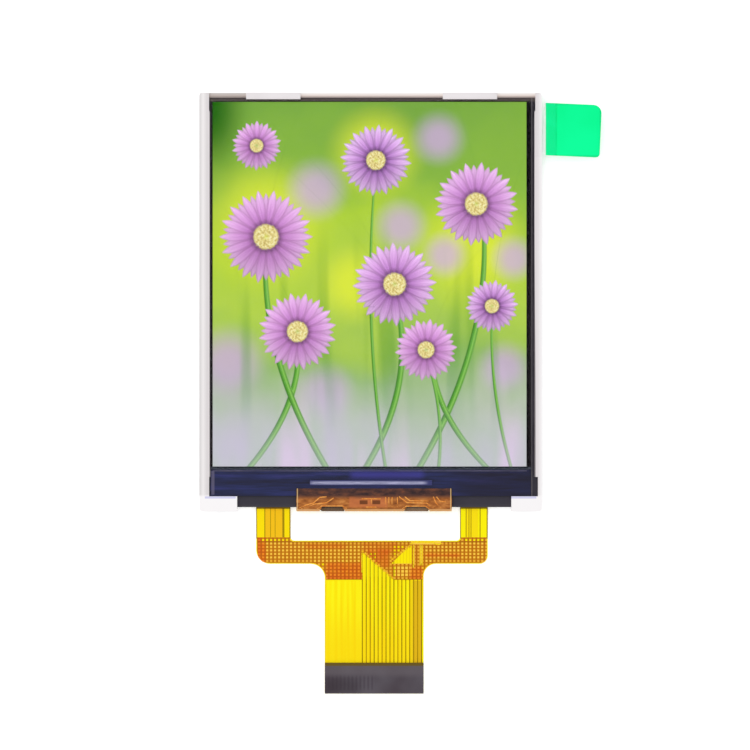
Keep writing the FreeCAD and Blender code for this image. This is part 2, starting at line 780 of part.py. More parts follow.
def joint_holes():
    """Outlines of the holes that the soldered joints pass through."""
    half, rise = add("joint_width / 2", "joint_gap"), add("joint_length / 2", "joint_gap")
    holes = []
    for number in range(int(size("joint_count"))):
        middle = joint_place(number)
        holes.append(rectangle(less(middle, half), add(middle, half), less(JOINT_ROW, rise), add(JOINT_ROW, rise)))
    return holes


def make_back_parts():
    glue = rectangle(
        add(LEFT_LEG_OUT, "glue_inset"),
        less(RIGHT_LEG_OUT, "glue_inset"),
        add(BODY_BOTTOM, "glue_inset / 2"),
        less(BODY_TOP, "glue_inset"),
    )
    plate("flex_adhesive", [glue] + joint_holes(), GLUE, "glue_thick")

    body = new_body("capacitors")
    high_row = less(BODY_TOP, "part_row_height")
    low_row = less(high_row, "part_row_gap")
    rows = (("first", high_row, "part_row_count"), ("second", low_row, "part_second_count"))
    for label, height, count in rows:
        start = less(TONGUE_MIDDLE, f"({count} - 1) * part_pitch / 2", "part_length / 2")
        first = rectangle(start, add(start, "part_length"), height, add(height, "part_width"))
        sketch = new_sketch(body, label + "_outline", [first])
        spread(body, label + "_row", [pad(body, label, sketch, LIFT)], f"({count} - 1) * part_pitch", count)

    body = new_body("solder_joints", x=joint_place(0), y=JOINT_ROW, level=LIFT)
    spot = rectangle("-joint_width / 2", "joint_width / 2", "-joint_length / 2", "joint_length / 2")
    core = pad(body, "core", new_sketch(body, "core_outline", [spot]), less(BACK, LIFT))
    cap = pad(body, "cap", new_sketch(body, "cap_outline", [spot]), "joint_cap", reverse=True)
    cap.setExpression("TaperAngle", bound("-joint_taper") + " * 1 deg")
    spread(body, "joints", [core, cap], "(joint_count - 1) * joint_pitch", "joint_count")


def make_tail_parts():
    stiff_top = add(TAIL_END, "stiffener_length")
    front = add(REST, "flex_thick")
    plate("stiffener", [rectangle(TAIL_LEFT, TAIL_RIGHT, TAIL_END, stiff_top)], front, "stiffener_thick")

    body = new_body("contact_pads", x=TAIL_LEFT, y=add(TAIL_END, "contact_inset"))
    start = less("contact_pitch", "contact_width / 2")
    first = rectangle(start, add(start, "contact_width"), "0", "contact_length")
    finger = pad(body, "finger", new_sketch(body, "finger_outline", [first]), "pad_thick")
    spread(body, "fingers", [finger], "(contact_count - 1) * contact_pitch", "contact_count")


# Copper under the cover of the flex: a hatched pour on the bar and plain runs elsewhere.
# The fan window starts on one gap between runs and falls across several of them.
# Runs on the legs are given as start and width, in shares of the leg's width.
# Slots are given as distance from the window in the pour, and width.
FAN_RUNS = 7
LEFT_RUNS = ((0.028, 0.211), (0.267, 0.143), (0.428, 0.115), (0.561, 0.202), (0.823, 0.143))
RIGHT_RUNS = ((0.034, 0.171), (0.234, 0.074), (0.336, 0.046), (0.41, 0.296), (0.741, 0.217))
POUR_SLOTS = ((0.22, 0.16), (1.05, 0.3))
HATCH_START = 0.75
FAN_TOP = add(BAR_BOTTOM, "bar_height / 2")
FAN_BOTTOM = add(POUR_END, "copper_margin")
FIRST_GAP = less(TAIL_RIGHT, "contact_pitch / 2", "trace_count * contact_pitch")


def fan_edge(across):
    """Height of the fan window's slanted side at a place across it."""
    run = f"(({less(across, FIRST_GAP)}) / ({FAN_RUNS + 1} * contact_pitch))"
    return less(FAN_TOP, f"{run} * ({less(FAN_TOP, FAN_BOTTOM)})")


def make_flex_traces():
    body = new_body("flex_traces")
    front = add(REST, "flex_thick")
    stiff_top = add(TAIL_END, "stiffener_length")
    loops = []
    for number in range(int(size("trace_count"))):
        start = add(FIRST_GAP, f"{number} * contact_pitch", "trace_gap / 2")
        end = add(FIRST_GAP, f"{number + 1} * contact_pitch", "-trace_gap / 2")
        if number < FAN_RUNS:
            tops = [less(fan_edge(side), "hatch_hole") for side in (start, end)]
        else:
            tops = [less(POUR_END, "copper_margin")] * 2
        loops.append([(start, stiff_top), (end, stiff_top), (end, tops[1]), (start, tops[0])])
    ground = rectangle(
        add(TAIL_LEFT, "copper_margin"), less(FIRST_GAP, "trace_gap / 2"), stiff_top, less(POUR_END, "copper_margin")
    )
    loops.append(ground)
    pad(body, "tail_runs", new_sketch(body, "tail_outline", loops, lift=front), "copper_thick")
    profile = leg_profile("flex_thick", "copper_thick", less(BODY_BOTTOM, "copper_margin"), POUR_TOP)
    for side, start, runs in (("left", LEFT_LEG_OUT, LEFT_RUNS), ("right", RIGHT_LEG_IN, RIGHT_RUNS)):
        for number, (offset, width) in enumerate(runs, start=1):
            label = f"{side}_run_{number}"
            place = add(start, f"{side}_leg_width * {offset}")
            sketch = new_sketch(body, label + "_profile", [profile], role="YZ_Plane", lift=place)
            pad(body, label, sketch, f"{side}_leg_width * {width}")


def rounded_wire(corners):
    """A closed wire through corners, each with the radius of its arc."""
    edges = []
    marks = []
    count = len(corners)
    for step, (point, radius) in enumerate(corners):
        before = (corners[step - 1][0] - point).normalize()
        after = (corners[(step + 1) % count][0] - point).normalize()
        if radius:
            half = before.getAngle(after) / 2
            reach = radius / math.tan(half)
            middle = (before + after).normalize() * (radius / math.sin(half))
            crown = point + middle * (1 - math.sin(half))
            marks.append((point + before * reach, crown, point + after * reach))
        else:
            marks.append((point, None, point))
    for step, (start, crown, end) in enumerate(marks):
        if crown is not None:
            edges.append(Part.Arc(start, crown, end).toShape())
        following = marks[(step + 1) % count][0]
        edges.append(Part.makeLine(end, following))
    return Part.Wire(edges)


def make_flex_pour():
    margin = size("copper_margin")

    def corner(across, along, radius=0.0):
        return (FreeCAD.Vector(size(across), size(along), 0), radius)

    bar_high = less(BAR_TOP, "copper_margin")
    curl_end = less(RIGHT_LEG_IN, "curl_gap")
    curl_start = less(curl_end, "curl_width")
    curl_low = less(bar_high, "curl_depth")
    bar_low = add(BAR_BOTTOM, "copper_margin")
    fan_left = FIRST_GAP
    fan_right = add(FIRST_GAP, f"{FAN_RUNS + 1} * contact_pitch")
    outline = [
        corner(add(LEFT_LEG_OUT, "copper_margin"), POUR_TOP),
        corner(less(LEFT_LEG_IN, "copper_margin"), POUR_TOP),
        corner(less(LEFT_LEG_IN, "copper_margin"), bar_high, size("crook")),
        corner(curl_start, bar_high),
        corner(curl_start, curl_low),
        corner(curl_end, curl_low),
        corner(curl_end, bar_high),
        corner(add(RIGHT_LEG_IN, "copper_margin"), bar_high, size("crook")),
        corner(add(RIGHT_LEG_IN, "copper_margin"), POUR_TOP),
        corner(less(RIGHT_LEG_OUT, "copper_margin"), POUR_TOP),
        corner(less(RIGHT_LEG_OUT, "copper_margin"), bar_low, size("right_bend") - margin),
        corner(less(TAIL_RIGHT, "copper_margin"), bar_low, size("right_throat") + margin),
        corner(less(TAIL_RIGHT, "copper_margin"), POUR_END),
        corner(fan_right, POUR_END),
        corner(fan_right, fan_edge(fan_right)),
        corner(fan_left, FAN_TOP),
        corner(fan_left, POUR_END),
        corner(add(TAIL_LEFT, "copper_margin"), POUR_END),
        corner(add(TAIL_LEFT, "copper_margin"), bar_low, size("left_throat") + margin),
        corner(add(LEFT_LEG_OUT, "copper_margin"), bar_low, size("left_bend") - margin),
    ]
    window_right = less(TAIL_RIGHT, "window_inset")
    window_left = less(window_right, "window_width")
    window_top = less(BAR_TOP, "window_drop")
    windows = [
        [
            corner(window_left, BAR_BOTTOM),
            corner(window_right, BAR_BOTTOM),
            corner(window_right, window_top),
            corner(less(window_right, "contact_pitch / 2"), window_top),
            corner(window_left, bar_low),
        ]
    ]
    for gap, width in POUR_SLOTS:
        slot_left = add(window_right, f"{gap}")
        slot = rectangle(slot_left, add(slot_left, f"{width}"), BAR_BOTTOM, window_top)
        windows.append([corner(across, along) for across, along in slot])
    face = Part.Face([rounded_wire(outline)] + [rounded_wire(window) for window in windows])

    left, right = size(LEFT_LEG_OUT), size(RIGHT_LEG_OUT)
    top, bottom = size(POUR_TOP), size(POUR_END)
    across, down = size("hatch_across"), size("hatch_down")
    grid_left, grid_right, grid_top = size(window_left), size(window_right), size(BAR_BOTTOM)
    solid_left = grid_left - size("solid_width")
    holes = []
    for column in range(int((right - left) / across)):
        for line in range(int((top - bottom) / down)):
            centre = FreeCAD.Vector(left + (column + HATCH_START) * across, top - (line + HATCH_START) * down, 0)
            open_grid = grid_left < centre.x < grid_right and centre.y < grid_top
            if solid_left < centre.x < grid_left and centre.y < size(BAR_TOP):
                continue
            half = size("hatch_wide_hole" if open_grid else "hatch_hole") / 2
            guard = half * math.sqrt(2) + size("hatch_guard")
            edge_distance = min(wire.distToShape(Part.Vertex(centre))[0] for wire in face.Wires)
            if edge_distance > guard and face.isInside(centre, 1e-4, True):
                holes.append(Part.makePolygon(square(centre, half) + square(centre, half)[:1]))
    face = Part.Face([face.OuterWire] + [wire for wire in face.Wires if not wire.isSame(face.OuterWire)] + holes)
    level = size(add(REST, "flex_thick"))
    set_feature("flex_pour", face.extrude(FreeCAD.Vector(0, 0, size("copper_thick"))), level)


def square(centre, half):
    """Corners of an upright square."""
    steps = ((-1, -1), (1, -1), (1, 1), (-1, 1))
    return [centre + FreeCAD.Vector(across * half, along * half, 0) for across, along in steps]


# Protective film and its pull tab

def make_film():
    left = add(GLASS_LEFT, "polarizer_inset")
    right = less(GLASS_RIGHT, "polarizer_inset")
    bottom = add(FILTER_BOTTOM, "polarizer_inset")
    top = less(GLASS_TOP, "polarizer_inset")
    ear_right = add(right, "ear_length")
    ear_top = less(top, "ear_drop")
    ear_bottom = less(ear_top, "ear_height")
    outline = [
        (left, bottom),
        (right, bottom),
        (right, ear_bottom),
        (ear_right, ear_bottom),
        (ear_right, ear_top),
        (right, ear_top),
        (right, top),
        (left, top),
    ]
    body = new_body("protective_film", level=FILM)
    film = pad(body, "film", new_sketch(body, "film_outline", [outline]), "film_thick")
    round_corners(body, "film_corners", film, [outline[0], outline[1], outline[7]], "film_corner")

    body = new_body(
        "pull_tab",
        x=less(ear_right, "tab_tape_lap"),
        y=less(ear_top, "tab_tape_drop"),
        level=less(FILM, "tab_tape_thick"),
        turn="-tab_tape_turn",
    )
    tape = rectangle("0", "tab_tape_width", "-tab_tape_height", "0")
    tab = pad(body, "tab", new_sketch(body, "tab_outline", [tape]), "tab_tape_thick")
    first = round_corners(body, "tab_round", tab, [tape[2]], "tab_tape_round")
    round_corners(body, "tab_small_round", first, [tape[1]], "tab_tape_small_round")


make_mould_frame()
make_light_unit()
make_rim_tape()
make_panel()
make_picture()
make_main_flex()
make_back_parts()
make_tail_parts()
make_flex_traces()
make_flex_pour()
make_film()
doc.recompute()

for thing in doc.Objects:
    if "Invalid" in thing.State or "Error" in thing.State:
        raise RuntimeError(f"{thing.Label} failed: {thing.State}")
for part in parts:
    if part.Shape.isNull() or not part.Shape.isValid():
        raise RuntimeError(f"{part.Label} has no valid shape")
for part in parts:
    part.Shape.exportStep(f"parts/{part.Label}.step")
    box = part.Shape.BoundBox
    print(
        f"{part.Label:18s} solids {len(part.Shape.Solids):3d} volume {part.Shape.Volume:9.3f}"
        f" x {box.XMin:7.2f} {box.XMax:7.2f} y {box.YMin:7.2f} {box.YMax:7.2f} z {box.ZMin:5.2f} {box.ZMax:5.2f}"
    )
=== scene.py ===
import math

import bmesh
import bpy
from mathutils import Matrix, Vector


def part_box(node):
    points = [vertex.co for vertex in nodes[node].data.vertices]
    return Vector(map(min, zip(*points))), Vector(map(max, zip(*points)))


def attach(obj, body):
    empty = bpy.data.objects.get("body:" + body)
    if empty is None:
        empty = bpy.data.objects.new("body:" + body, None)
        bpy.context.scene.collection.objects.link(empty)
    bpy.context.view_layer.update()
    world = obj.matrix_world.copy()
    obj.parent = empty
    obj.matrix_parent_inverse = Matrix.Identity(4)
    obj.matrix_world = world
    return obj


# A small colour display module lying face up, dressed over its solids.
# Places in the tables and in the shaders are in millimetres from the frame's middle.

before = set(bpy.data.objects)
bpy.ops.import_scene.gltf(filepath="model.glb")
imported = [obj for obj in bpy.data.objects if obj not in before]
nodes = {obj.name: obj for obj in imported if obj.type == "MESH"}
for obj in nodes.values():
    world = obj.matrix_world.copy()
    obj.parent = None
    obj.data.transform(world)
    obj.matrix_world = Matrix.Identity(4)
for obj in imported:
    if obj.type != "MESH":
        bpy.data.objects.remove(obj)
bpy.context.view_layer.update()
MM = 0.001


def edges(name):
    """Left, right, bottom and top of a solid in millimetres, seen from above."""
    low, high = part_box(name)
    return low.x / MM, high.x / MM, low.y / MM, high.y / MM


def top_level(name):
    """How high a solid reaches, in millimetres."""
    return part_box(name)[1].z / MM


# Shader benches

def tint(red, green, blue):
    """A colour as a screen shows it, each channel from 0 to 255."""
    shares = (red / 255, green / 255, blue / 255)
    linear = [share / 12.92 if share <= 0.04045 else ((share + 0.055) / 1.055) ** 2.4 for share in shares]
    return (*linear, 1.0)


class Amount:
    """A number that varies over a surface. Arithmetic on it places Math nodes."""

    def __init__(self, bench, socket):
        self.bench = bench
        self.socket = socket

    def __add__(self, other):
        return self.bench.math("ADD", self, other)

    def __sub__(self, other):
        return self.bench.math("SUBTRACT", self, other)

    def __rsub__(self, other):
        return self.bench.math("SUBTRACT", other, self)

    def __mul__(self, other):
        return self.bench.math("MULTIPLY", self, other)

    def __truediv__(self, other):
        return self.bench.math("DIVIDE", self, other)

    __radd__ = __add__
    __rmul__ = __mul__

    def __abs__(self):
        return self.bench.math("ABSOLUTE", self)

    def __pow__(self, other):
        return self.bench.math("POWER", self, other)


class Bench:
    """A node tree with short calls that place nodes in it."""

    def __init__(self, tree):
        self.tree = tree

    def put(self, kind, inputs=None, **settings):
        """Places a node, sets it up and feeds its inputs by name or number."""
        node = self.tree.nodes.new("ShaderNode" + kind)
        for name, value in settings.items():
            setattr(node, name, value)
        for name, value in (inputs or {}).items():
            self.feed(node.inputs[name], value)
        return node

    def feed(self, socket, value):
        """Links a socket to what varies, or sets it to a plain value."""
        if isinstance(value, Amount):
            value = value.socket
        if isinstance(value, bpy.types.NodeSocket):
            self.tree.links.new(value, socket)
        else:
            socket.default_value = value

    def wrap(self, socket):
        """A socket of numbers as an Amount, and any other socket as it is."""
        return Amount(self, socket) if socket.type == "VALUE" else socket

    def math(self, operation, *values):
        """A number worked out from others."""
        return Amount(self, self.put("Math", dict(enumerate(values)), operation=operation).outputs[0])

    def vector(self, operation, inputs):
        """A vector worked out from others."""
        return self.put("VectorMath", inputs, operation=operation).outputs[0]

    def place(self):
        """Place on the object in millimetres."""
        coordinates = self.put("TexCoord").outputs["Object"]
        return self.vector("SCALE", {0: coordinates, 3: 1 / MM})

    def in_view(self):
        """1 on what is seen straight on, in gloss or through glass, and 0 for the light it gives."""
        paths = self.put("LightPath").outputs
        mirrored = self.math("MAXIMUM", paths["Is Glossy Ray"], paths["Is Transmission Ray"])
        return self.math("MAXIMUM", paths["Is Camera Ray"], mirrored)

    def split(self, vector):
        """The three parts of a vector."""
        parts = self.put("SeparateXYZ", {0: vector}).outputs
        return [Amount(self, part) for part in parts]

    def join(self, across, along, up=0.0):
        """A vector from its parts."""
        return self.put("CombineXYZ", {0: across, 1: along, 2: up}).outputs[0]

    def ease(self, value, low, high, first=0.0, last=1.0):
        """Smooth step from first to last as the value goes from low to high."""
        inputs = {"Value": value, "From Min": low, "From Max": high, "To Min": first, "To Max": last}
        node = self.put("MapRange", inputs, interpolation_type="SMOOTHSTEP")
        return Amount(self, node.outputs["Result"])

    def within(self, value, low, high, soft):
        """1 between two limits and 0 outside, with a soft edge."""
        rise = self.ease(value, low - soft, low + soft)
        return rise * self.ease(value, high - soft, high + soft, 1.0, 0.0)

    def patch(self, across, along, box, soft):
        """1 in an upright rectangle given as left, right, bottom and top."""
        left, right, bottom, top = box
        return self.within(across, left, right, soft) * self.within(along, bottom, top, soft)

    def noise(self, vector, scale, detail=2.0, roughness=0.5):
        """Soft mottling from 0 to 1."""
        inputs = {"Vector": vector, "Scale": scale, "Detail": detail, "Roughness": roughness}
        return Amount(self, self.put("TexNoise", inputs).outputs[0])

    def blend(self, share, first, second, way="MIX"):
        """Colour between two others."""
        node = self.put("Mix", data_type="RGBA", blend_type=way)
        for index, value in ((0, share), (6, first), (7, second)):
            self.feed(node.inputs[index], value)
        return node.outputs[2]

    def times(self, colour, tone):
        """Colour made lighter or darker by a tone."""
        return self.blend(1.0, colour, self.join(tone, tone, tone), "MULTIPLY")

    def choose(self, share, first, second):
        """Vector between two others."""
        node = self.put("Mix", data_type="VECTOR")
        for index, value in ((0, share), (4, first), (5, second)):
            self.feed(node.inputs[index], value)
        return node.outputs[1]

    def ramp(self, value, stops):
        """Colour read from stops of place and colour."""
        node = self.put("ValToRGB", {0: value})
        band = node.color_ramp
        while len(band.elements) < len(stops):
            band.elements.new(0.5)
        for element, (position, colour) in zip(band.elements, stops):
            element.position = position
            element.color = colour
        return node.outputs[0]

    def bump(self, height, distance, strength):
        """Relief of a surface, its depth in millimetres."""
        inputs = {"Height": height, "Strength": strength, "Distance": distance * MM}
        return self.put("Bump", inputs).outputs[0]

    def use(self, group, **inputs):
        """Places a shared group and gives its outputs by name."""
        node = self.tree.nodes.new("ShaderNodeGroup")
        node.node_tree = group
        for name, value in inputs.items():
            self.feed(node.inputs[name.capitalize()], value)
        return {socket.name: self.wrap(socket) for socket in node.outputs}


def new_group(name, inputs, outputs):
    """A shader group whose inputs and outputs are given as name and kind."""
    tree = bpy.data.node_groups.new(name, "ShaderNodeTree")
    for label, kind in inputs:
        tree.interface.new_socket(label, in_out="INPUT", socket_type="NodeSocket" + kind)
    for label, kind in outputs:
        tree.interface.new_socket(label, in_out="OUTPUT", socket_type="NodeSocket" + kind)
    bench = Bench(tree)
    entry = tree.nodes.new("NodeGroupInput")
    leave = tree.nodes.new("NodeGroupOutput")
    given = {label: bench.wrap(entry.outputs[label]) for label, _ in inputs}
    return bench, given, leave.inputs


def new_finish(name, gloss=0.2, **plain):
    """A material, its bench and its surface shader, with plain values set on the shader."""
    material = bpy.data.materials.new(name)
    material.use_nodes = True
    shader = material.node_tree.nodes["Principled BSDF"]
    shader.inputs["Specular IOR Level"].default_value = gloss
    for socket, value in plain.items():
        shader.inputs[socket.replace("_", " ").title()].default_value = value
    return material, Bench(material.node_tree), shader


def coat(bench, shader, colour, height, distance, strength=0.3):
    """Feeds a finish its colour and its relief."""
    bench.feed(shader.inputs["Base Color"], colour)
    bench.feed(shader.inputs["Normal"], bench.bump(height, distance, strength))


def dress(material, *names):
    """Gives solids of the frame a finish."""
    for name in names:
        nodes[name].material_slots[0].material = material


# Effects that several finishes share
# Zones are given as left, right, bottom and top, and ramps as places and their colours.

LINE_SOFT = 0.03
# First hole and pitch of the copper's hatch, across and along.
HATCH_GRID = ((-14.102, 0.504), (-30.071, -0.441))
HOLE_RIM = (0.09, 0.15)
WEB_RIM = (0.16, 0.22)
WARM_SOFT = 0.35
WARM_ZONES = (
    ((-14.6, -13.3, -33.2, -29.6), 0.9),
    ((-5.6, -1.1, -35.2, -33.0), 1.0),
    ((-1.0, 3.4, -31.6, -30.3), 0.35),
    ((-0.4, 2.4, -33.6, -31.4), 0.55),
    ((6.9, 11.3, -32.2, -31.8), 0.8),
    ((4.9, 6.6, -35.2, -33.4), 0.7),
    ((-8.3, -3.0, -31.2, -30.6), 0.5),
)


def make_grain_group():
    """Fine mottling of a surface and a coarser drift of tone."""
    bench, given, leave = new_group(
        "fine grain",
        [("Place", "Vector"), ("Scale", "Float")],
        [("Grain", "Float"), ("Drift", "Float")],
    )
    coarse = given["Scale"] * 0.06
    bench.feed(leave["Grain"], bench.noise(given["Place"], given["Scale"], 4.0, 0.6))
    bench.feed(leave["Drift"], bench.noise(given["Place"], coarse, 3.0))
    return bench.tree


def make_edge_group():
    """Faces that stand upright, as the ground edges of a sheet do, and faces that look up."""
    bench, _, leave = new_group("sheet edges", [], [("Edge", "Float"), ("Top", "Float")])
    upward = bench.split(bench.put("NewGeometry").outputs["Normal"])[2]
    bench.feed(leave["Edge"], bench.ease(abs(upward), 0.3, 0.7, 1.0, 0.0))
    bench.feed(leave["Top"], bench.ease(upward, 0.1, 0.4))
    return bench.tree


def make_line_group():
    """Row of thin upright lines at a pitch."""
    bench, given, leave = new_group(
        "line row",
        [("Across", "Float"), ("First", "Float"), ("Pitch", "Float"), ("Count", "Float"), ("Half", "Float")],
        [("Line", "Float")],
    )
    step = (given["Across"] - given["First"]) / given["Pitch"]
    near = bench.math("ROUND", step)
    off = abs(step - near) * given["Pitch"]
    inside = bench.math("LESS_THAN", abs(near - (given["Count"] - 1) / 2), given["Count"] / 2)
    line = bench.ease(off, given["Half"] - LINE_SOFT, given["Half"] + LINE_SOFT, 1.0, 0.0)
    bench.feed(leave["Line"], line * inside)
    return bench.tree


def make_hole_group():
    """Square holes of the copper's hatch, as they repeat over the bar, and the webs between them."""
    bench, given, leave = new_group(
        "hatch holes", [("Place", "Vector")], [("Hole", "Float"), ("Web", "Float")]
    )
    across, along, _ = bench.split(given["Place"])
    offs = []
    for value, (first, pitch) in zip((across, along), HATCH_GRID):
        step = (value - first) / pitch
        offs.append(abs(step - bench.math("ROUND", step)) * abs(pitch))
    far = bench.math("MAXIMUM", *offs)
    bench.feed(leave["Hole"], bench.ease(far, *HOLE_RIM, 1.0, 0.0))
    bench.feed(leave["Web"], bench.ease(far, *WEB_RIM))
    return bench.tree


def make_warmth_group():
    """Where the copper in the circuit's bar looks redder."""
    bench, given, leave = new_group("copper warmth", [("Place", "Vector")], [("Warmth", "Float")])
    across, along, _ = bench.split(given["Place"])
    total = bench.noise(given["Place"], 0.55, 2.0) * 0.5 - 0.12
    for zone, share in WARM_ZONES:
        total = total + bench.patch(across, along, zone, WARM_SOFT) * share
    bench.feed(leave["Warmth"], bench.ease(total, 0.0, 1.0))
    return bench.tree


grain_group = make_grain_group()
edge_group = make_edge_group()
line_group = make_line_group()
warmth_group = make_warmth_group()
hole_group = make_hole_group()


# Picture on the panel: pointed blossoms on thin stems before soft light
# Places across and along are shares of the picture from its lower left corner.

# Blossoms are given as across, along, reach as a share of the width, petals in a whorl and turn.
BLOSSOMS = (
    (0.27, 0.37, 0.125, 16, 10),
    (0.17, 0.63, 0.150, 18, 0),
    (0.58, 0.50, 0.135, 16, 25),
    (0.84, 0.72, 0.135, 16, 15),
    (0.52, 0.84, 0.115, 16, 40),
    (0.68, 0.32, 0.100, 14, 5),
    (0.89, 0.44, 0.085, 14, 30),
    (0.14, 0.88, 0.080, 14, 12),
)
# Glows and dots are given as across, along and radius.
GLOWS = ((0.17, 0.66, 0.17), (0.52, 0.86, 0.12), (0.83, 0.60, 0.15), (0.45, 0.50, 0.10))
LILAC_DOTS = (
    (0.05, 0.28, 0.10),
    (0.93, 0.27, 0.07),
    (0.36, 0.20, 0.08),
    (0.33, 0.76, 0.08),
    (0.72, 0.90, 0.07),
    (0.74, 0.58, 0.06),
    (0.96, 0.57, 0.06),
    (0.60, 0.66, 0.07),
)
# Blades are given as foot, tip, reach, bow and half width.
BLADES = (
    (0.12, 0.27, 0.36, 0.05, 0.012),
    (0.36, 0.17, 0.62, -0.06, 0.012),
    (0.49, 0.58, 0.47, 0.06, 0.012),
    (0.66, 0.86, 0.70, 0.07, 0.012),
    (0.87, 0.70, 0.33, -0.05, 0.012),
    (0.55, 0.52, 0.82, -0.03, 0.006),
    (0.72, 0.68, 0.30, 0.02, 0.006),
    (0.95, 0.89, 0.42, -0.02, 0.006),
)
PETAL_COLOURS = (
    (0.1, tint(140, 84, 152)),
    (0.35, tint(178, 122, 196)),
    (0.6, tint(212, 162, 224)),
    (0.85, tint(232, 194, 242)),
    (1.0, tint(250, 232, 252)),
)
HEART_COLOURS = ((0.35, tint(196, 168, 96)), (0.5, tint(238, 222, 142)), (0.65, tint(252, 246, 196)))
STEM_COLOURS = (
    (0.1, tint(56, 122, 34)),
    (0.45, tint(104, 176, 66)),
    (0.6, tint(142, 204, 92)),
    (0.95, tint(60, 126, 42)),
)
GARDEN_COLOURS = (
    (0.05, tint(178, 200, 150)),
    (0.25, tint(146, 190, 96)),
    (0.45, tint(182, 214, 76)),
    (0.62, tint(178, 214, 60)),
    (0.8, tint(140, 188, 66)),
    (1.0, tint(122, 172, 66)),
)
HAZE_COLOURS = ((0.38, tint(208, 198, 226)), (0.5, tint(198, 202, 208)), (0.62, tint(226, 206, 238)))
# Share of a petal's length where it starts to narrow.
PETAL_SHOULDER = 0.45
# Turn, length and tone of the whorl behind and of the one in front.
BACK_WHORL = (0.5, 0.93, 0.85)
FRONT_WHORL = (0.0, 1.0, 1.0)
# Rims are given as shares of a blossom's reach.
HEART_RIM = (0.24, 0.29)
HEART_SHADE = (0.25, 0.42)
BLOSSOM_REACH = 1.05
# A spot outside every blossom, for the parts of the picture that have none.
NO_SPOT = (9.0, 9.0, 0.0)
NO_KIND = (5.0, 8.0, 0.0)


def make_blossom_group():
    """Two whorls of pointed petals round a heart, read at a spot given in reaches from the middle."""
    bench, given, leave = new_group(
        "blossom", [("Spot", "Vector"), ("Kind", "Vector")], [("Cover", "Float"), ("Colour", "Color")]
    )
    across, along, _ = bench.split(given["Spot"])
    reach, petals, turn = bench.split(given["Kind"])
    share = bench.math("SQRT", across * across + along * along)
    angle = (bench.math("ARCTAN2", along, across) - turn) * petals / (2 * math.pi)
    width = share * reach * (2 * math.pi) / petals

    def whorl(shift, length, dim):
        """Cover and colour of one ring of petals."""
        place = angle + shift
        number = bench.math("ROUND", place)
        aside = place - number
        rim = share / length
        taper = bench.math("MAXIMUM", (rim - PETAL_SHOULDER) / (1 - PETAL_SHOULDER), 0.0)
        half = (1 - taper ** 2.0) * 0.5
        depth = (half - abs(aside)) * width
        streak = bench.noise(bench.join(aside * 8, rim * 1.2, number * 3.7), 1.8, 3.0, 0.65)
        colour = bench.ramp(rim - 0.04 + (streak - 0.5) * 0.5, PETAL_COLOURS)
        tone = bench.ease(depth, 0.0, 0.3, 0.7, 1.06) * (0.9 + streak * 0.3) * dim
        return bench.ease(depth, -0.05, 0.07), bench.times(colour, tone)

    back_cover, back = whorl(*BACK_WHORL)
    front_cover, front = whorl(*FRONT_WHORL)
    colour = bench.blend(front_cover, back, front)
    pink = bench.ease(turn, 0.1, 0.7, 0.22, 0.0)
    colour = bench.blend(pink, colour, tint(240, 150, 206))
    speck = bench.noise(given["Spot"], 16.0, 2.0, 0.7)
    rough_share = share + (speck - 0.5) * 0.12
    hollow = bench.ease(rough_share, *HEART_SHADE, 0.5, 1.0)
    lit_side = bench.ease(along, -0.9, 0.5, 0.8, 1.06)
    colour = bench.times(colour, hollow * lit_side)
    heart = bench.ease(rough_share, *HEART_RIM, 1.0, 0.0)
    colour = bench.blend(heart, colour, bench.ramp(speck, HEART_COLOURS))
    bench.feed(leave["Cover"], bench.math("MAXIMUM", front_cover, back_cover))
    bench.feed(leave["Colour"], colour)
    return bench.tree


def make_blade_group():
    """A bowed stem that narrows to its tip, given as foot, tip and reach, with its bow and half width."""
    bench, given, leave = new_group(
        "blade",
        [("Side", "Float"), ("Rise", "Float"), ("Line", "Vector"), ("Bow", "Float"), ("Half", "Float")],
        [("Cover", "Float"), ("Aside", "Float")],
    )
    foot, tip, reach = bench.split(given["Line"])
    share = given["Rise"] / reach
    middle = foot + (tip - foot) * share + given["Bow"] * 4 * share * (1 - share)
    half = given["Half"] * bench.math("MAXIMUM", 1 - share, 0.0) ** 0.2
    aside = given["Side"] - middle
    bench.feed(leave["Cover"], bench.ease(half - abs(aside), -0.0015, 0.0025))
    bench.feed(leave["Aside"], aside / given["Half"] * 0.5 + 0.5)
    return bench.tree


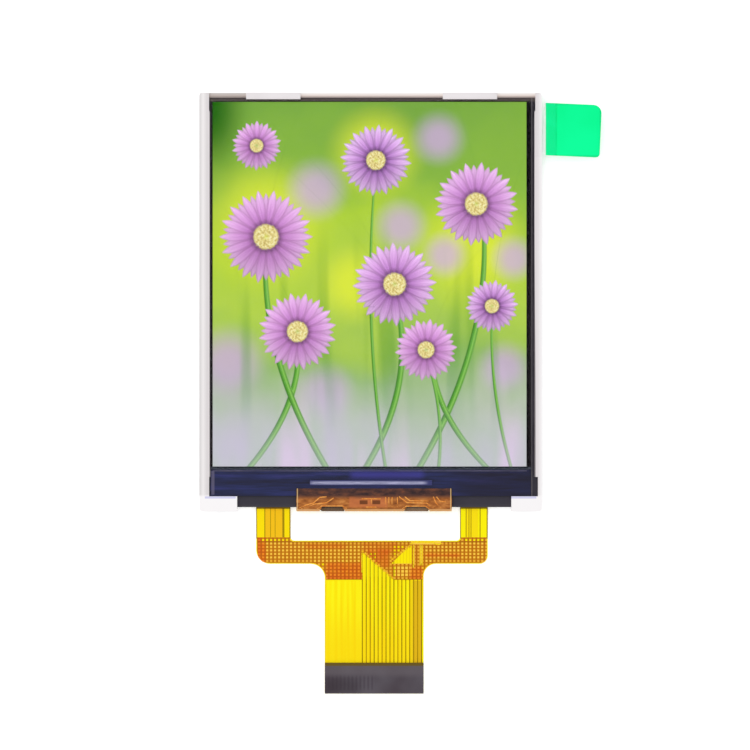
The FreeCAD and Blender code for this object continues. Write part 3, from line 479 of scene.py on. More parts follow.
def make_backlight_group():
    """Soft garden light behind the blossoms: greens, lime glows and a lilac haze along the bottom."""
    bench, given, leave = new_group(
        "garden light", [("Side", "Float"), ("Rise", "Float"), ("Tall", "Float")], [("Colour", "Color")]
    )
    side, rise = given["Side"], given["Rise"]
    drift = bench.noise(bench.join(side, rise * given["Tall"]), 2.2, 3.0)
    colour = bench.ramp(rise + (drift - 0.5) * 0.7, GARDEN_COLOURS)
    dark = bench.ease(side, 0.0, 0.14, 1.0, 0.0) * bench.ease(rise, 0.72, 0.98)
    colour = bench.blend(dark, colour, tint(30, 104, 4))
    lime = tint(224, 238, 62)
    lilac = tint(214, 176, 226)
    spots = [(*glow, lime, 0.95) for glow in GLOWS] + [(*dot, lilac, 0.72) for dot in LILAC_DOTS]
    for spot_side, spot_rise, radius, spot_colour, strength in spots:
        off_side = side - spot_side
        off_rise = (rise - spot_rise) * given["Tall"]
        off = bench.math("SQRT", off_side * off_side + off_rise * off_rise)
        cover = bench.ease(off, radius * 0.25, radius * 1.5, strength, 0.0)
        colour = bench.blend(cover, colour, spot_colour)
    reeds = bench.noise(bench.join(side * 15, rise * 0.9), 1.0, 1.0)
    depth = bench.ease(rise, 0.0, 0.2) * bench.ease(rise, 0.3, 0.75, 0.5, 0.0)
    colour = bench.blend(bench.ease(reeds, 0.48, 0.66) * depth, colour, tint(84, 156, 40))
    haze_drift = bench.noise(bench.join(side * 6, rise * 1.4), 1.0, 2.0)
    mist = bench.ease(rise + (drift - 0.5) * 0.2, 0.0, 0.33, 0.88, 0.0)
    bench.feed(leave["Colour"], bench.blend(mist, colour, bench.ramp(haze_drift, HAZE_COLOURS)))
    return bench.tree


def lay_stems(bench, side, rise, colour):
    """Colour with the thin stems laid over it, fainter at their feet."""
    blade_group = make_blade_group()
    cover = aside = 0.0
    for foot, tip, reach, bow, half in BLADES:
        out = bench.use(blade_group, side=side, rise=rise, line=(foot, tip, reach), bow=bow, half=half)
        aside = bench.math("MULTIPLY_ADD", out["Cover"], out["Aside"] - aside, aside)
        cover = bench.math("MAXIMUM", out["Cover"], cover)
    clear_foot = bench.ease(rise, 0.0, 0.2, 0.55, 1.0)
    return bench.blend(cover * clear_foot, colour, bench.ramp(aside, STEM_COLOURS))


def lay_blossoms(bench, spot_here, corner, size, colour):
    """Colour with the blossoms laid over it, on a picture with this lower left corner and size."""
    spot, kind = NO_SPOT, NO_KIND
    for side, rise, share, petals, turn in BLOSSOMS:
        reach = share * size[0]
        middle = (corner[0] + side * size[0], corner[1] + rise * size[1], 0.0)
        off = bench.vector("SUBTRACT", {0: spot_here, 1: middle})
        here = bench.vector("SCALE", {0: off, 3: 1 / reach})
        far = bench.put("VectorMath", {0: here}, operation="LENGTH").outputs["Value"]
        near = bench.math("LESS_THAN", far, BLOSSOM_REACH)
        spot = bench.choose(near, spot, here)
        kind = bench.choose(near, kind, (reach, petals, math.radians(turn)))
    out = bench.use(make_blossom_group(), spot=spot, kind=kind)
    return bench.blend(out["Cover"], colour, out["Colour"])


def make_lit_picture():
    """The panel's own light in all the picture's fields."""
    left, right, _, top = edges("picture_ground")
    bottom = edges("picture_haze")[2]
    width, height = right - left, top - bottom
    material, bench, shader = new_finish("lit picture", roughness=0.35, emission_strength=1.0)
    across, along, _ = bench.split(bench.place())
    side = (across - left) / width
    rise = (along - bottom) / height
    colour = bench.use(make_backlight_group(), side=side, rise=rise, tall=height / width)["Colour"]
    colour = lay_stems(bench, side, rise, colour)
    colour = lay_blossoms(bench, bench.join(across, along), (left, bottom), (width, height), colour)
    bench.feed(shader.inputs["Emission Color"], colour)
    shader.inputs["Base Color"].default_value = tint(10, 10, 12)
    dress(material, *[name for name in nodes if name.startswith("picture_")])


# Clear sheets, panel glass, black sheets and driver chip

# Each is given as name, colour, colour of the painted highlight on its edges, haze, share of that edge
# highlight, gloss, roughness and its solid.
CLEAR_SHEETS = (
    ("clear film", tint(70, 72, 80), tint(226, 228, 240), 0.006, 0.2, 0.35, 0.1, "protective_film"),
    ("polarizer", tint(20, 20, 28), tint(90, 86, 120), 0.024, 0.3, 0.15, 0.12, "front_polarizer"),
    ("front glass", tint(30, 32, 44), tint(130, 128, 156), 0.01, 0.35, 0.1, 0.08, "filter_glass"),
)
FILM_INDEX = 1.4
# Edges of the panel's solids, which the places on them are worked out from.
GLASS_LEFT, GLASS_RIGHT, LEDGE_BOTTOM, GLASS_TOP = edges("array_glass")
LEDGE_TOP = edges("filter_glass")[2]
TAPE_BOTTOM = edges("rim_tape")[2]
CHIP_LEFT, CHIP_RIGHT, CHIP_BOTTOM, CHIP_TOP = edges("driver_chip")
LEDGE_REFLECTION_BLUES = (
    (0.3, tint(24, 22, 42)),
    (0.45, tint(28, 32, 66)),
    (0.6, tint(34, 40, 86)),
    (0.75, tint(52, 50, 112)),
)
LEDGE_HIGHLIGHT = (-2.5, 6.6, LEDGE_TOP - 0.99, LEDGE_TOP - 0.39)
LEDGE_RIM_HIGHLIGHT = (GLASS_LEFT + 0.3, GLASS_RIGHT - 0.5, LEDGE_TOP - 0.25, LEDGE_TOP - 0.09)
LEDGE_SIDE_HIGHLIGHT = (GLASS_LEFT + 0.1, GLASS_LEFT + 0.5, LEDGE_BOTTOM + 0.15, LEDGE_TOP - 0.19)
LEDGE_RIGHT_SHADE = (8.0, 14.0)
# Rims of the black sheets: along the top, above the ledge, along the bottom and by the right wall, where a
# painted highlight lies.
TOP_RIM = (GLASS_TOP - 0.35, GLASS_TOP - 0.1)
LEDGE_TOP_RIM = (LEDGE_TOP + 0.26, LEDGE_TOP + 0.41)
BOTTOM_RIM = (TAPE_BOTTOM - 0.07, TAPE_BOTTOM + 0.48)
RIGHT_HIGHLIGHT_RIM = (GLASS_RIGHT + 0.1, GLASS_RIGHT + 0.2)
# Each black sheet is given as name, solid, colour, lighter colour, colour low down and grain.
BLACK_SHEETS = (
    ("black border", "cell_seal", tint(8, 4, 8), tint(30, 22, 26), tint(60, 67, 78), 1.2),
    ("black tape", "rim_tape", tint(38, 34, 44), tint(64, 58, 68), tint(50, 47, 58), 2.4),
)
# Painted reflection on the chip's back, and the grinding lines on it.
CHIP_SHEEN_ALONG = (CHIP_BOTTOM + 0.13, CHIP_TOP - 0.16)
CHIP_SHEEN_ACROSS = (CHIP_LEFT + 0.15, CHIP_RIGHT - 0.85)
SILICON_SHEEN_GREYS = ((0.3, tint(120, 120, 148)), (0.55, tint(148, 148, 178)), (0.7, tint(176, 174, 206)))


def make_clear_sheet(name, colour, edge_highlight_colour, haze, edge_highlight_share, gloss, roughness, sheet):
    """A see-through sheet with a sheen at low angles and a painted highlight on its upright edges."""
    material, bench, shader = new_finish(name, roughness=roughness)
    drift = bench.noise(bench.place(), 0.06, 1.0)
    edge = bench.use(edge_group)["Edge"]
    # Painted highlight: the upright edges take a lighter colour and show more.
    bench.feed(shader.inputs["Base Color"], bench.blend(edge, colour, edge_highlight_colour))
    sheen = Amount(bench, bench.put("Fresnel", {"IOR": FILM_INDEX}).outputs[0]) * gloss
    paths = bench.put("LightPath").outputs
    lit = 1 - bench.math("MAXIMUM", paths["Is Shadow Ray"], paths["Is Diffuse Ray"])
    bench.feed(shader.inputs["Alpha"], (sheen + drift * haze + edge * edge_highlight_share) * lit)
    dress(material, sheet)


def make_ledge_glass():
    """The rear glass: dark where its ledge lies over the black tape, in a painted deep blue reflection, with
    painted highlights and painted shade to the right.
    """
    material, bench, shader = new_finish("ledge glass", roughness=0.12)
    place = bench.place()
    across, along, _ = bench.split(place)
    streak = bench.noise(bench.join(across * 0.12, along * 1.3), 1.0, 3.0, 0.6)
    # Painted reflection: streaked deep blues over the dark ledge.
    colour = bench.ramp(streak, LEDGE_REFLECTION_BLUES)
    # Painted highlight above the chip.
    glow = bench.patch(across, along, LEDGE_HIGHLIGHT, 0.6)
    colour = bench.blend(glow * 0.8, colour, tint(66, 62, 156))
    # Painted shade, darker towards the right.
    dim = bench.ease(across, *LEDGE_RIGHT_SHADE)
    colour = bench.blend(dim * 0.6, colour, tint(24, 20, 40))
    # Painted highlight along the front glass's lower edge.
    rim = bench.patch(across, along, LEDGE_RIM_HIGHLIGHT, 0.04) * bench.noise(place, 0.4)
    colour = bench.blend(rim * 0.9, colour, tint(96, 92, 116))
    # Painted highlight along the left edge of the ledge.
    side = bench.patch(across, along, LEDGE_SIDE_HIGHLIGHT, 0.08)
    colour = bench.blend(side * 0.6, colour, tint(104, 98, 124))
    # Painted highlight on the upright edges.
    edge = bench.use(edge_group)["Edge"]
    bench.feed(shader.inputs["Base Color"], bench.blend(edge, colour, tint(150, 160, 176)))
    dress(material, "array_glass")


def make_black_sheet(name, sheet, colour, lift, low_colour, scale):
    """Black border of the panel or black tape round it, lighter along its rims, with a painted highlight by
    the right wall.
    """
    material, bench, shader = new_finish(name, roughness=0.42)
    place = bench.place()
    across, along, _ = bench.split(place)
    out = bench.use(grain_group, place=place, scale=scale)
    tone = bench.ease(out["Drift"] + (out["Grain"] - 0.5) * 0.3, 0.35, 0.7)
    colour = bench.blend(tone, colour, lift)
    colour = bench.blend(bench.ease(along, *TOP_RIM), colour, tint(86, 76, 74))
    colour = bench.blend(bench.ease(along, *LEDGE_TOP_RIM, 0.8, 0.0), colour, low_colour)
    colour = bench.blend(bench.ease(along, *BOTTOM_RIM, 0.15, 0.0), colour, tint(94, 92, 92))
    # Painted highlight of the glass edge by the right wall.
    glint = bench.within(across, *RIGHT_HIGHLIGHT_RIM, 0.05)
    colour = bench.blend(glint * 0.7, colour, tint(138, 130, 136))
    coat(bench, shader, colour, out["Grain"], 0.01)
    dress(material, sheet)


def make_chip_finish():
    """Bare silicon: a painted bright reflection on its back, with faint grinding lines."""
    material, bench, shader = new_finish("driver silicon", metallic=0.5, roughness=0.3)
    across, along, up = bench.split(bench.place())
    lines = bench.noise(bench.join(across * 0.5, along * 14, up), 1.0, 2.0)
    # Painted reflection: a bright band across the back.
    back = bench.within(along, *CHIP_SHEEN_ALONG, 0.09) * bench.within(across, *CHIP_SHEEN_ACROSS, 0.5)
    colour = bench.blend(back, tint(56, 58, 104), bench.ramp(lines, SILICON_SHEEN_GREYS))
    bench.feed(shader.inputs["Base Color"], colour)
    bench.feed(shader.inputs["Roughness"], bench.ease(lines, 0.3, 0.7, 0.22, 0.36))
    dress(material, "driver_chip")


# Moulded frame

FRAME_LEFT, FRAME_RIGHT, FRAME_BOTTOM, FRAME_TOP = edges("mould_frame")
# Spans are how far in from the frame's sides the painted light and shade of its walls and its rail reach.
LEFT_WALL_SPAN = 1.6
LEFT_WALL_RIM = (FRAME_LEFT + LEFT_WALL_SPAN, FRAME_LEFT + LEFT_WALL_SPAN + 0.1)
LEFT_WALL_SHADING = (
    (0.0, tint(216, 212, 212)),
    (0.1, tint(220, 217, 217)),
    (0.3, tint(241, 237, 237)),
    (0.62, tint(215, 210, 211)),
    (0.85, tint(224, 218, 219)),
)
RIGHT_WALL_SPAN = 1.2
RIGHT_WALL_RIM = (FRAME_RIGHT - RIGHT_WALL_SPAN - 0.1, FRAME_RIGHT - RIGHT_WALL_SPAN)
RIGHT_WALL_SHADING = (
    (0.0, tint(220, 213, 215)),
    (0.4, tint(224, 217, 219)),
    (0.65, tint(231, 226, 227)),
    (0.85, tint(244, 241, 242)),
    (1.0, tint(249, 247, 248)),
)
# The walls' tops lie above these levels, and the low rail at the top below them.
WALL_LEVEL = (1.4, 1.5)
RAIL_LEVEL = (1.52, 1.7)
RAIL_SPAN = 0.8
RAIL_START = FRAME_TOP - RAIL_SPAN
RAIL_RIM = (RAIL_START - 0.3, RAIL_START - 0.1)
RAIL_SHADED_CORNER = (FRAME_LEFT + 5.8, FRAME_LEFT + 6.0)
RAIL_SHADE_TONES = (
    (0.0, tint(92, 78, 80)),
    (0.3, tint(160, 144, 140)),
    (0.6, tint(232, 219, 212)),
    (0.95, tint(246, 242, 240)),
)
# The painted shadow in the right crease leans: its place across low and high on the frame.
CREASE_SHADOW_ALONG = (-16.0, 12.0)
CREASE_SHADOW_ACROSS = (FRAME_RIGHT - 0.81, FRAME_RIGHT - 0.94)
RIGHT_CREASE_SHADOW_START = (FRAME_RIGHT - 1.2, FRAME_RIGHT - 1.1)
LEFT_CREASE_SHADOW = (FRAME_LEFT + 1.29, FRAME_LEFT + 1.4)
BLOCK_RIM = (FRAME_BOTTOM + 1.8, FRAME_BOTTOM + 2.2)
# The painted lavender highlight on the step of both corner blocks, by its distance from the middle.
BLOCK_STEP = (FRAME_RIGHT - 4.6, FRAME_RIGHT - 0.7, FRAME_BOTTOM + 1.62, FRAME_BOTTOM + 1.9)
BLOCK_STEP_LEVEL = (0.9, 1.1)


def make_frame_finish():
    """White moulding, greyer on its walls and its low rail in painted shade, with a painted shadow in the
    crease at the walls' inner edge and a painted highlight on the corner blocks' step.
    """
    material, bench, shader = new_finish("white moulding", roughness=0.42)
    place = bench.place()
    across, along, up = bench.split(place)
    out = bench.use(grain_group, place=place, scale=2.2)
    drift = bench.ease(out["Drift"], 0.35, 0.65)
    colour = bench.blend(drift, tint(225, 220, 221), tint(233, 228, 230))
    # Painted light and shade across the walls.
    left_wall_shading = bench.ramp((across - FRAME_LEFT) / LEFT_WALL_SPAN, LEFT_WALL_SHADING)
    right_wall_shading = bench.ramp((across - FRAME_RIGHT) / RIGHT_WALL_SPAN + 1, RIGHT_WALL_SHADING)
    colour = bench.blend(bench.ease(across, *LEFT_WALL_RIM, 0.85, 0.0), colour, left_wall_shading)
    colour = bench.blend(bench.ease(across, *RIGHT_WALL_RIM, 0.0, 0.85), colour, right_wall_shading)

    # Painted shadow in the crease at the walls' inner edge.
    lean = bench.ease(along, *CREASE_SHADOW_ALONG, *CREASE_SHADOW_ACROSS)
    crease = bench.ease(across - lean, -0.02, 0.03, 1.0, 0.0) * bench.ease(across, *RIGHT_CREASE_SHADOW_START)
    crease = crease + bench.within(across, *LEFT_CREASE_SHADOW, 0.03)
    high = bench.ease(up, *WALL_LEVEL, 0.0, 0.85)
    colour = bench.blend(crease * high, colour, tint(66, 58, 62))
    blocks = bench.ease(along, *BLOCK_RIM, 1.0, 0.0)
    colour = bench.blend(blocks, colour, tint(249, 246, 247))

    top = bench.use(edge_group)["Top"]
    # Painted shade on the low rail, darkest towards the glass and greyer at its left corner.
    rail = bench.ease(up, *RAIL_LEVEL, 1.0, 0.0) * bench.ease(along, *RAIL_RIM) * top
    shade = bench.ramp((along - RAIL_START) / RAIL_SPAN, RAIL_SHADE_TONES)
    corner = bench.ease(across, *RAIL_SHADED_CORNER, 0.5, 0.0)
    colour = bench.blend(rail, colour, bench.blend(corner, shade, tint(136, 124, 118)))
    # Painted lavender highlight on the corner blocks' step.
    step = bench.patch(abs(across), along, BLOCK_STEP, 0.05) * bench.ease(up, *BLOCK_STEP_LEVEL)
    colour = bench.blend(step * 0.7, colour, tint(188, 188, 232))
    coat(bench, shader, colour, out["Grain"], 0.02, 0.25)
    dress(material, "mould_frame")


# Flexible circuit

TAIL_LEFT, _, TAIL_END, BACKING_TOP = edges("stiffener")
COPPER_BOTTOM = edges("flex_pour")[2]
AMBERS = ((0.35, tint(252, 222, 4)), (0.5, tint(254, 234, 4)), (0.65, tint(254, 244, 6)))
GAP_TONES = ((0.35, tint(136, 112, 0)), (0.7, tint(186, 146, 0)))
BONDED_BROWNS = ((0.35, tint(54, 40, 42)), (0.55, tint(88, 58, 50)), (0.7, tint(120, 72, 50)))
FOLD_ORANGES = ((0.3, tint(112, 63, 34)), (0.5, tint(168, 100, 48)), (0.7, tint(204, 134, 70)))
RUN_YELLOWS = ((0.35, tint(252, 222, 4)), (0.5, tint(254, 236, 6)), (0.65, tint(255, 246, 20)))
TUCKED_SHADE_BROWN = tint(90, 64, 16)
# Painted shade where the legs come out from under the frame.
TUCKED_RIM = (-26.18, -26.06)
LEG_FOOT_RIM = (-30.0, -29.8)
TAIL_RIM = (-34.9, -34.6)
TAIL_LEFT_EDGE = (TAIL_LEFT - 0.2, TAIL_LEFT + 0.35)
TAIL_LEFT_START = (-36.0, -35.2)
# Levels between the bar and the legs, and between the legs and the tongue over them.
BAR_LEVEL = (0.3, 0.5)
LEG_LEVEL = (0.45, 0.6)
TONGUE_LEVEL = (0.7, 0.9)
TAIL_GAPS = {"first": -1.05, "pitch": 0.5, "count": 16.0, "half": 0.07}
WINDOW_GAPS = {"first": 2.95, "pitch": 0.4, "count": 6.0, "half": 0.03}
FAN_GAPS = (-1.1, 3.0, -34.9, -31.5)
HATCH_BAR = (-14.3, 14.65, -32.98, -30.28)
HATCH_FOOT = (-5.7, 6.6, -35.0, -33.0)
RIGHT_WINDOW = (2.2, 5.25, -33.05, -30.8)
FAN_WINDOW = (-1.1, 3.1, -35.0, -31.5)
LEFT_LEG = (-14.5, -10.1, -29.9, -26.0)
RIGHT_LEG = (11.3, 14.9, -29.9, -26.0)
TONGUE_RED = (-2.7, 2.1, -25.9, -24.5)
TONGUE_RIM = (-26.2, -26.05)
BOND_RIM = (-25.0, -24.3)
# Warmer runs in the middle of each leg, deeper ones low on the tail and browner ones at its right.
LEFT_LEG_MIDDLE = (-13.4, -10.95)
RIGHT_LEG_MIDDLE = (12.0, 13.6)
TAIL_LOW = (-44.0, -36.0)
TAIL_RIGHT = (4.9, 5.6)
TAIL_RIGHT_START = (-35.0, -34.8)
# Darker rims of the hatched copper, along its top and its foot.
HATCH_TOP_RIM = (-30.38, -30.26)
HATCH_FOOT_RIM = (COPPER_BOTTOM - 0.01, COPPER_BOTTOM + 0.09)
# Sides of the tongue, by their distance from its middle.
TONGUE_MIDDLE = 0.435
TONGUE_SIDE = (9.62, 9.72)
# Two dark lands by their distance from the line between them.
LAND_LINE = -0.08
TONGUE_LANDS = (0.3, 1.3, -25.5, -25.0)


def lay_tail_gaps(bench, across, along, top, colour):
    """Colour with the dark gaps between the runs of the tail and of the fan above it."""
    gaps = bench.use(line_group, across=across, **TAIL_GAPS)["Line"]
    tail = bench.ease(along, *TAIL_RIM, 1.0, 0.0) * top
    gap_tone = bench.ramp(bench.noise(bench.join(across * 1.6, along * 0.12), 1.0), GAP_TONES)
    colour = bench.blend(gaps * tail, colour, gap_tone)
    fan = bench.patch(across, along, FAN_GAPS, 0.05) * top
    return bench.blend(gaps * fan * 0.8, colour, tint(150, 132, 10))


def lay_bar_and_legs(bench, place, top, colour):
    """Colour with the light in the hatch's holes, the gaps between the legs' runs and the painted shade on
    them under the frame.
    """
    across, along, up = bench.split(place)
    warmth = bench.use(warmth_group, place=place)["Warmth"]
    hatch = bench.patch(across, along, HATCH_BAR, 0.02) + bench.patch(across, along, HATCH_FOOT, 0.02)
    window = bench.patch(across, along, RIGHT_WINDOW, 0.03)
    hatch = hatch * (1 - window) * (1 - bench.patch(across, along, FAN_WINDOW, 0.03))
    hole = bench.blend(warmth, tint(255, 206, 80), tint(240, 120, 40))
    colour = bench.blend(hatch * bench.ease(up, *BAR_LEVEL, 1.0, 0.0) * top * 0.85, colour, hole)

    below_fold = bench.ease(up, *LEG_LEVEL, 1.0, 0.0) * top
    legs = bench.patch(across, along, LEFT_LEG, 0.02) + bench.patch(across, along, RIGHT_LEG, 0.02)
    colour = bench.blend(legs * below_fold * 0.85, colour, tint(140, 110, 10))
    tucked_shade = bench.ease(along, *TUCKED_RIM) * below_fold * 0.9
    colour = bench.blend(tucked_shade, colour, TUCKED_SHADE_BROWN)
    strands = bench.use(line_group, across=across, **WINDOW_GAPS)["Line"]
    return bench.blend(strands * window * top * 0.5, colour, tint(206, 160, 20))


def lay_tongue(bench, place, colour):
    """Colour with the tongue's own: brown where it is bonded and orange over its fold."""
    across, along, up = bench.split(place)
    mottle = bench.noise(bench.join(across * 0.7, along * 1.6), 1.0, 3.0, 0.6)
    bent = bench.ramp(mottle, FOLD_ORANGES)
    red = bench.patch(across, along, TONGUE_RED, 0.15)
    bent = bench.blend(red * 0.75, bent, tint(198, 114, 68))
    lands = bench.patch(abs(across - LAND_LINE), along, TONGUE_LANDS, 0.05)
    bent = bench.blend(lands * 0.8, bent, tint(82, 46, 26))
    rim = bench.ease(along, *TONGUE_RIM, 1.0, 0.0)
    bent = bench.blend(rim * 0.8, bent, tint(236, 180, 120))
    bonded = bench.ease(along + (mottle - 0.5) * 0.7, *BOND_RIM)
    band = bench.blend(bonded, bent, bench.ramp(mottle, BONDED_BROWNS))
    tongue = bench.ease(up, *TONGUE_LEVEL)
    colour = bench.blend(tongue, colour, band)
    side = bench.within(abs(across - TONGUE_MIDDLE), *TONGUE_SIDE, 0.05) * tongue
    return bench.blend(side * 0.75, colour, tint(236, 200, 138))


def make_flex_finish():
    """Amber film: dark gaps between its runs, brown where it is bonded, orange at the fold."""
    material, bench, shader = new_finish("amber film", 0.06, roughness=0.32)
    place = bench.place()
    across, along, _ = bench.split(place)
    top = bench.use(edge_group)["Top"]
    colour = bench.ramp(bench.noise(place, 0.09, 2.0), AMBERS)
    left_edge = bench.within(across, *TAIL_LEFT_EDGE, 0.25)
    left_edge = left_edge * bench.ease(along, *TAIL_LEFT_START, 1.0, 0.0)
    colour = bench.blend(left_edge * 0.6, colour, tint(240, 200, 20))
    colour = lay_tail_gaps(bench, across, along, top, colour)
    colour = lay_bar_and_legs(bench, place, top, colour)
    colour = lay_tongue(bench, place, colour)
    grain = bench.use(grain_group, place=place, scale=1.6)["Grain"]
    coat(bench, shader, colour, grain, 0.006, 0.25)
    dress(material, "main_flex")


def make_run_finish():
    """Copper runs under the film, bright on the tail and warmer along the middle of the legs."""
    material, bench, shader = new_finish("runs under film", 0.06, roughness=0.3)
    across, along, _ = bench.split(bench.place())
    streak = bench.noise(bench.join(across * 2.4, along * 0.06), 1.0, 2.0)
    colour = bench.ramp(streak, RUN_YELLOWS)
    legs = bench.ease(along, *LEG_FOOT_RIM)
    warm = bench.within(across, *LEFT_LEG_MIDDLE, 0.05) + bench.within(across, *RIGHT_LEG_MIDDLE, 0.1) * 0.4
    margin = bench.blend(bench.ease(across, -1.0, 1.0), tint(254, 226, 6), tint(254, 242, 6))
    colour = bench.blend(legs, colour, bench.blend(warm, margin, tint(246, 194, 24)))
    # Painted shade where the runs come out from under the frame.
    colour = bench.blend(bench.ease(along, *TUCKED_RIM, 0.0, 0.9), colour, TUCKED_SHADE_BROWN)
    low = bench.ease(along, *TAIL_LOW, 0.7, 0.0)
    colour = bench.blend(low, colour, tint(252, 216, 8))
    right = bench.ease(across, *TAIL_RIGHT) * bench.ease(along, *TAIL_RIGHT_START, 1.0, 0.0)
    colour = bench.blend(right * 0.85, colour, tint(222, 174, 22))
    coat(bench, shader, colour, streak, 0.01)
    dress(material, "flex_traces")


def make_hatch_finish():
    """Hatched copper of the bar: brown webs, brighter round the holes and redder in places."""
    material, bench, shader = new_finish("hatched copper", 0.1, roughness=0.34)
    place = bench.place()
    _, along, _ = bench.split(place)
    warmth = bench.use(warmth_group, place=place)["Warmth"]
    out = bench.use(grain_group, place=place, scale=2.6)
    hatch = bench.use(hole_group, place=place)
    colour = bench.blend(warmth, tint(204, 128, 6), tint(212, 92, 8))
    colour = bench.blend(bench.ease(out["Grain"], 0.4, 0.7, 0.0, 0.35), colour, tint(226, 152, 14))
    colour = bench.blend(hatch["Web"] * 0.6, colour, tint(156, 82, 4))
    hole = bench.blend(warmth, tint(250, 194, 62), tint(236, 124, 40))
    colour = bench.blend(hatch["Hole"] * 0.75, colour, hole)
    rim = bench.within(along, *HATCH_TOP_RIM, 0.04) + bench.within(along, *HATCH_FOOT_RIM, 0.03)
    colour = bench.blend(rim * 0.6, colour, tint(138, 76, 4))
    coat(bench, shader, colour, out["Grain"], 0.008)
    dress(material, "flex_pour")


CONTACT_ROWS = {"first": -5.3, "pitch": 0.5, "count": 24.0, "half": 0.12}
PRESSED_ZONE = (-6.0, 0.5, -49.0, -47.2)
DARK_PATCH_ZONE = (-6.4, -1.4, -49.8, -47.6)
PALE_ZONE = (-7.0, 7.0, -47.2, -45.0)
TIP_RIM = (TAIL_END - 0.1, TAIL_END + 0.2)
BACKING_TOP_RIM = (BACKING_TOP - 0.5, BACKING_TOP - 0.28)


def make_stiffener_finish():
    """Dark backing film at the tail's end with faint rows pressed through from the contacts."""
    material, bench, shader = new_finish("dark backing", roughness=0.48)
    place = bench.place()
    across, along, _ = bench.split(place)
    out = bench.use(grain_group, place=place, scale=1.8)
    drift = bench.ease(out["Drift"] + across * 0.02, 0.36, 0.6)
    colour = bench.blend(drift, tint(64, 54, 62), tint(86, 80, 88))
    rows = bench.use(line_group, across=across, **CONTACT_ROWS)["Line"]
    fingers = rows * bench.patch(across, along, PRESSED_ZONE, 0.3)
    colour = bench.blend(fingers * 0.35, colour, tint(50, 38, 52))
    # Darker patch low on the left.
    dark_patch = bench.patch(across, along, DARK_PATCH_ZONE, 0.9)
    colour = bench.blend(dark_patch * 0.6, colour, tint(46, 36, 44))
    pale = bench.patch(across, along, PALE_ZONE, 0.5) + bench.ease(along, *TIP_RIM, 1.0, 0.0)
    colour = bench.blend(pale * 0.55, colour, tint(100, 92, 98))
    colour = bench.blend(bench.ease(along, *BACKING_TOP_RIM), colour, tint(98, 78, 16))
    coat(bench, shader, colour, rows * 0.4 + out["Grain"] * 0.4, 0.01)
    dress(material, "stiffener")


# Tab, capacitors and the plain finishes of what lies behind

# Each is given as name, two tones, grain, roughness, metallic, relief and its solids.
PLAIN_FINISHES = (
    ("rear polarizer", tint(90, 92, 98), tint(112, 114, 120), 1.0, 0.3, 0.0, 0.01, ["rear_polarizer"]),
    ("bond film", tint(92, 66, 40), tint(126, 92, 56), 6.0, 0.45, 0.0, 0.01, ["bond_film"]),
    (
        "prism film", tint(228, 232, 236), tint(240, 243, 246), 9.0, 0.25, 0.0, 0.02,
        ["upper_prism_film", "lower_prism_film"],
    ),
    ("diffuser", tint(240, 240, 238), tint(248, 248, 246), 5.0, 0.6, 0.0, 0.01, ["diffuser_film"]),
    ("light guide", tint(226, 236, 240), tint(240, 246, 248), 1.5, 0.15, 0.0, 0.005, ["light_guide"]),
    ("silver sheet", tint(220, 222, 225), tint(228, 230, 232), 1.2, 0.22, 0.85, 0.01, ["reflector_sheet"]),
    ("lamp strip", tint(232, 230, 216), tint(244, 242, 232), 2.4, 0.5, 0.0, 0.01, ["led_flex"]),
    (
        "lamp case", tint(236, 236, 224), tint(246, 246, 238), 4.0, 0.45, 0.0, 0.01,
        [f"led_{number}" for number in range(1, 7)],
    ),
    ("plated contacts", tint(214, 170, 84), tint(238, 200, 116), 3.0, 0.25, 0.9, 0.01, ["contact_pads"]),
    ("bonding tape", tint(222, 222, 212), tint(236, 236, 228), 1.6, 0.55, 0.0, 0.02, ["flex_adhesive"]),
    ("bright solder", tint(190, 192, 198), tint(220, 222, 226), 5.0, 0.24, 0.9, 0.03, ["solder_joints"]),
)
CAPACITOR_PITCH = 2.6
CAPACITOR_MIDDLE = 0.5
CAPACITOR_END = (0.24, 0.28)
# Rim of the tape, then where the film's ear ends over it, the tape under the ear being painted lighter
# against the film's shade, and where its root starts.
TAB_RIM = (0.05, 0.4)
EAR_RIGHT = edges("protective_film")[1]
EAR_LIGHTENED_END = (EAR_RIGHT - 0.28, EAR_RIGHT - 0.08)
TAB_ROOT = (FRAME_RIGHT + 0.42, FRAME_RIGHT + 0.52)


def make_plain_finish(name, first, second, scale, roughness, metallic, relief, sheets):
    """Two tones of one colour over a fine grain."""
    material, bench, shader = new_finish(name, roughness=roughness, metallic=metallic)
    out = bench.use(grain_group, place=bench.place(), scale=scale)
    tone = bench.ease(out["Drift"] * 0.6 + out["Grain"] * 0.4, 0.36, 0.64)
    wear = bench.ease(out["Grain"], 0.3, 0.7, roughness * 0.85, roughness * 1.15)
    bench.feed(shader.inputs["Roughness"], wear)
    coat(bench, shader, bench.blend(tone, first, second), out["Grain"], relief)
    dress(material, *sheets)


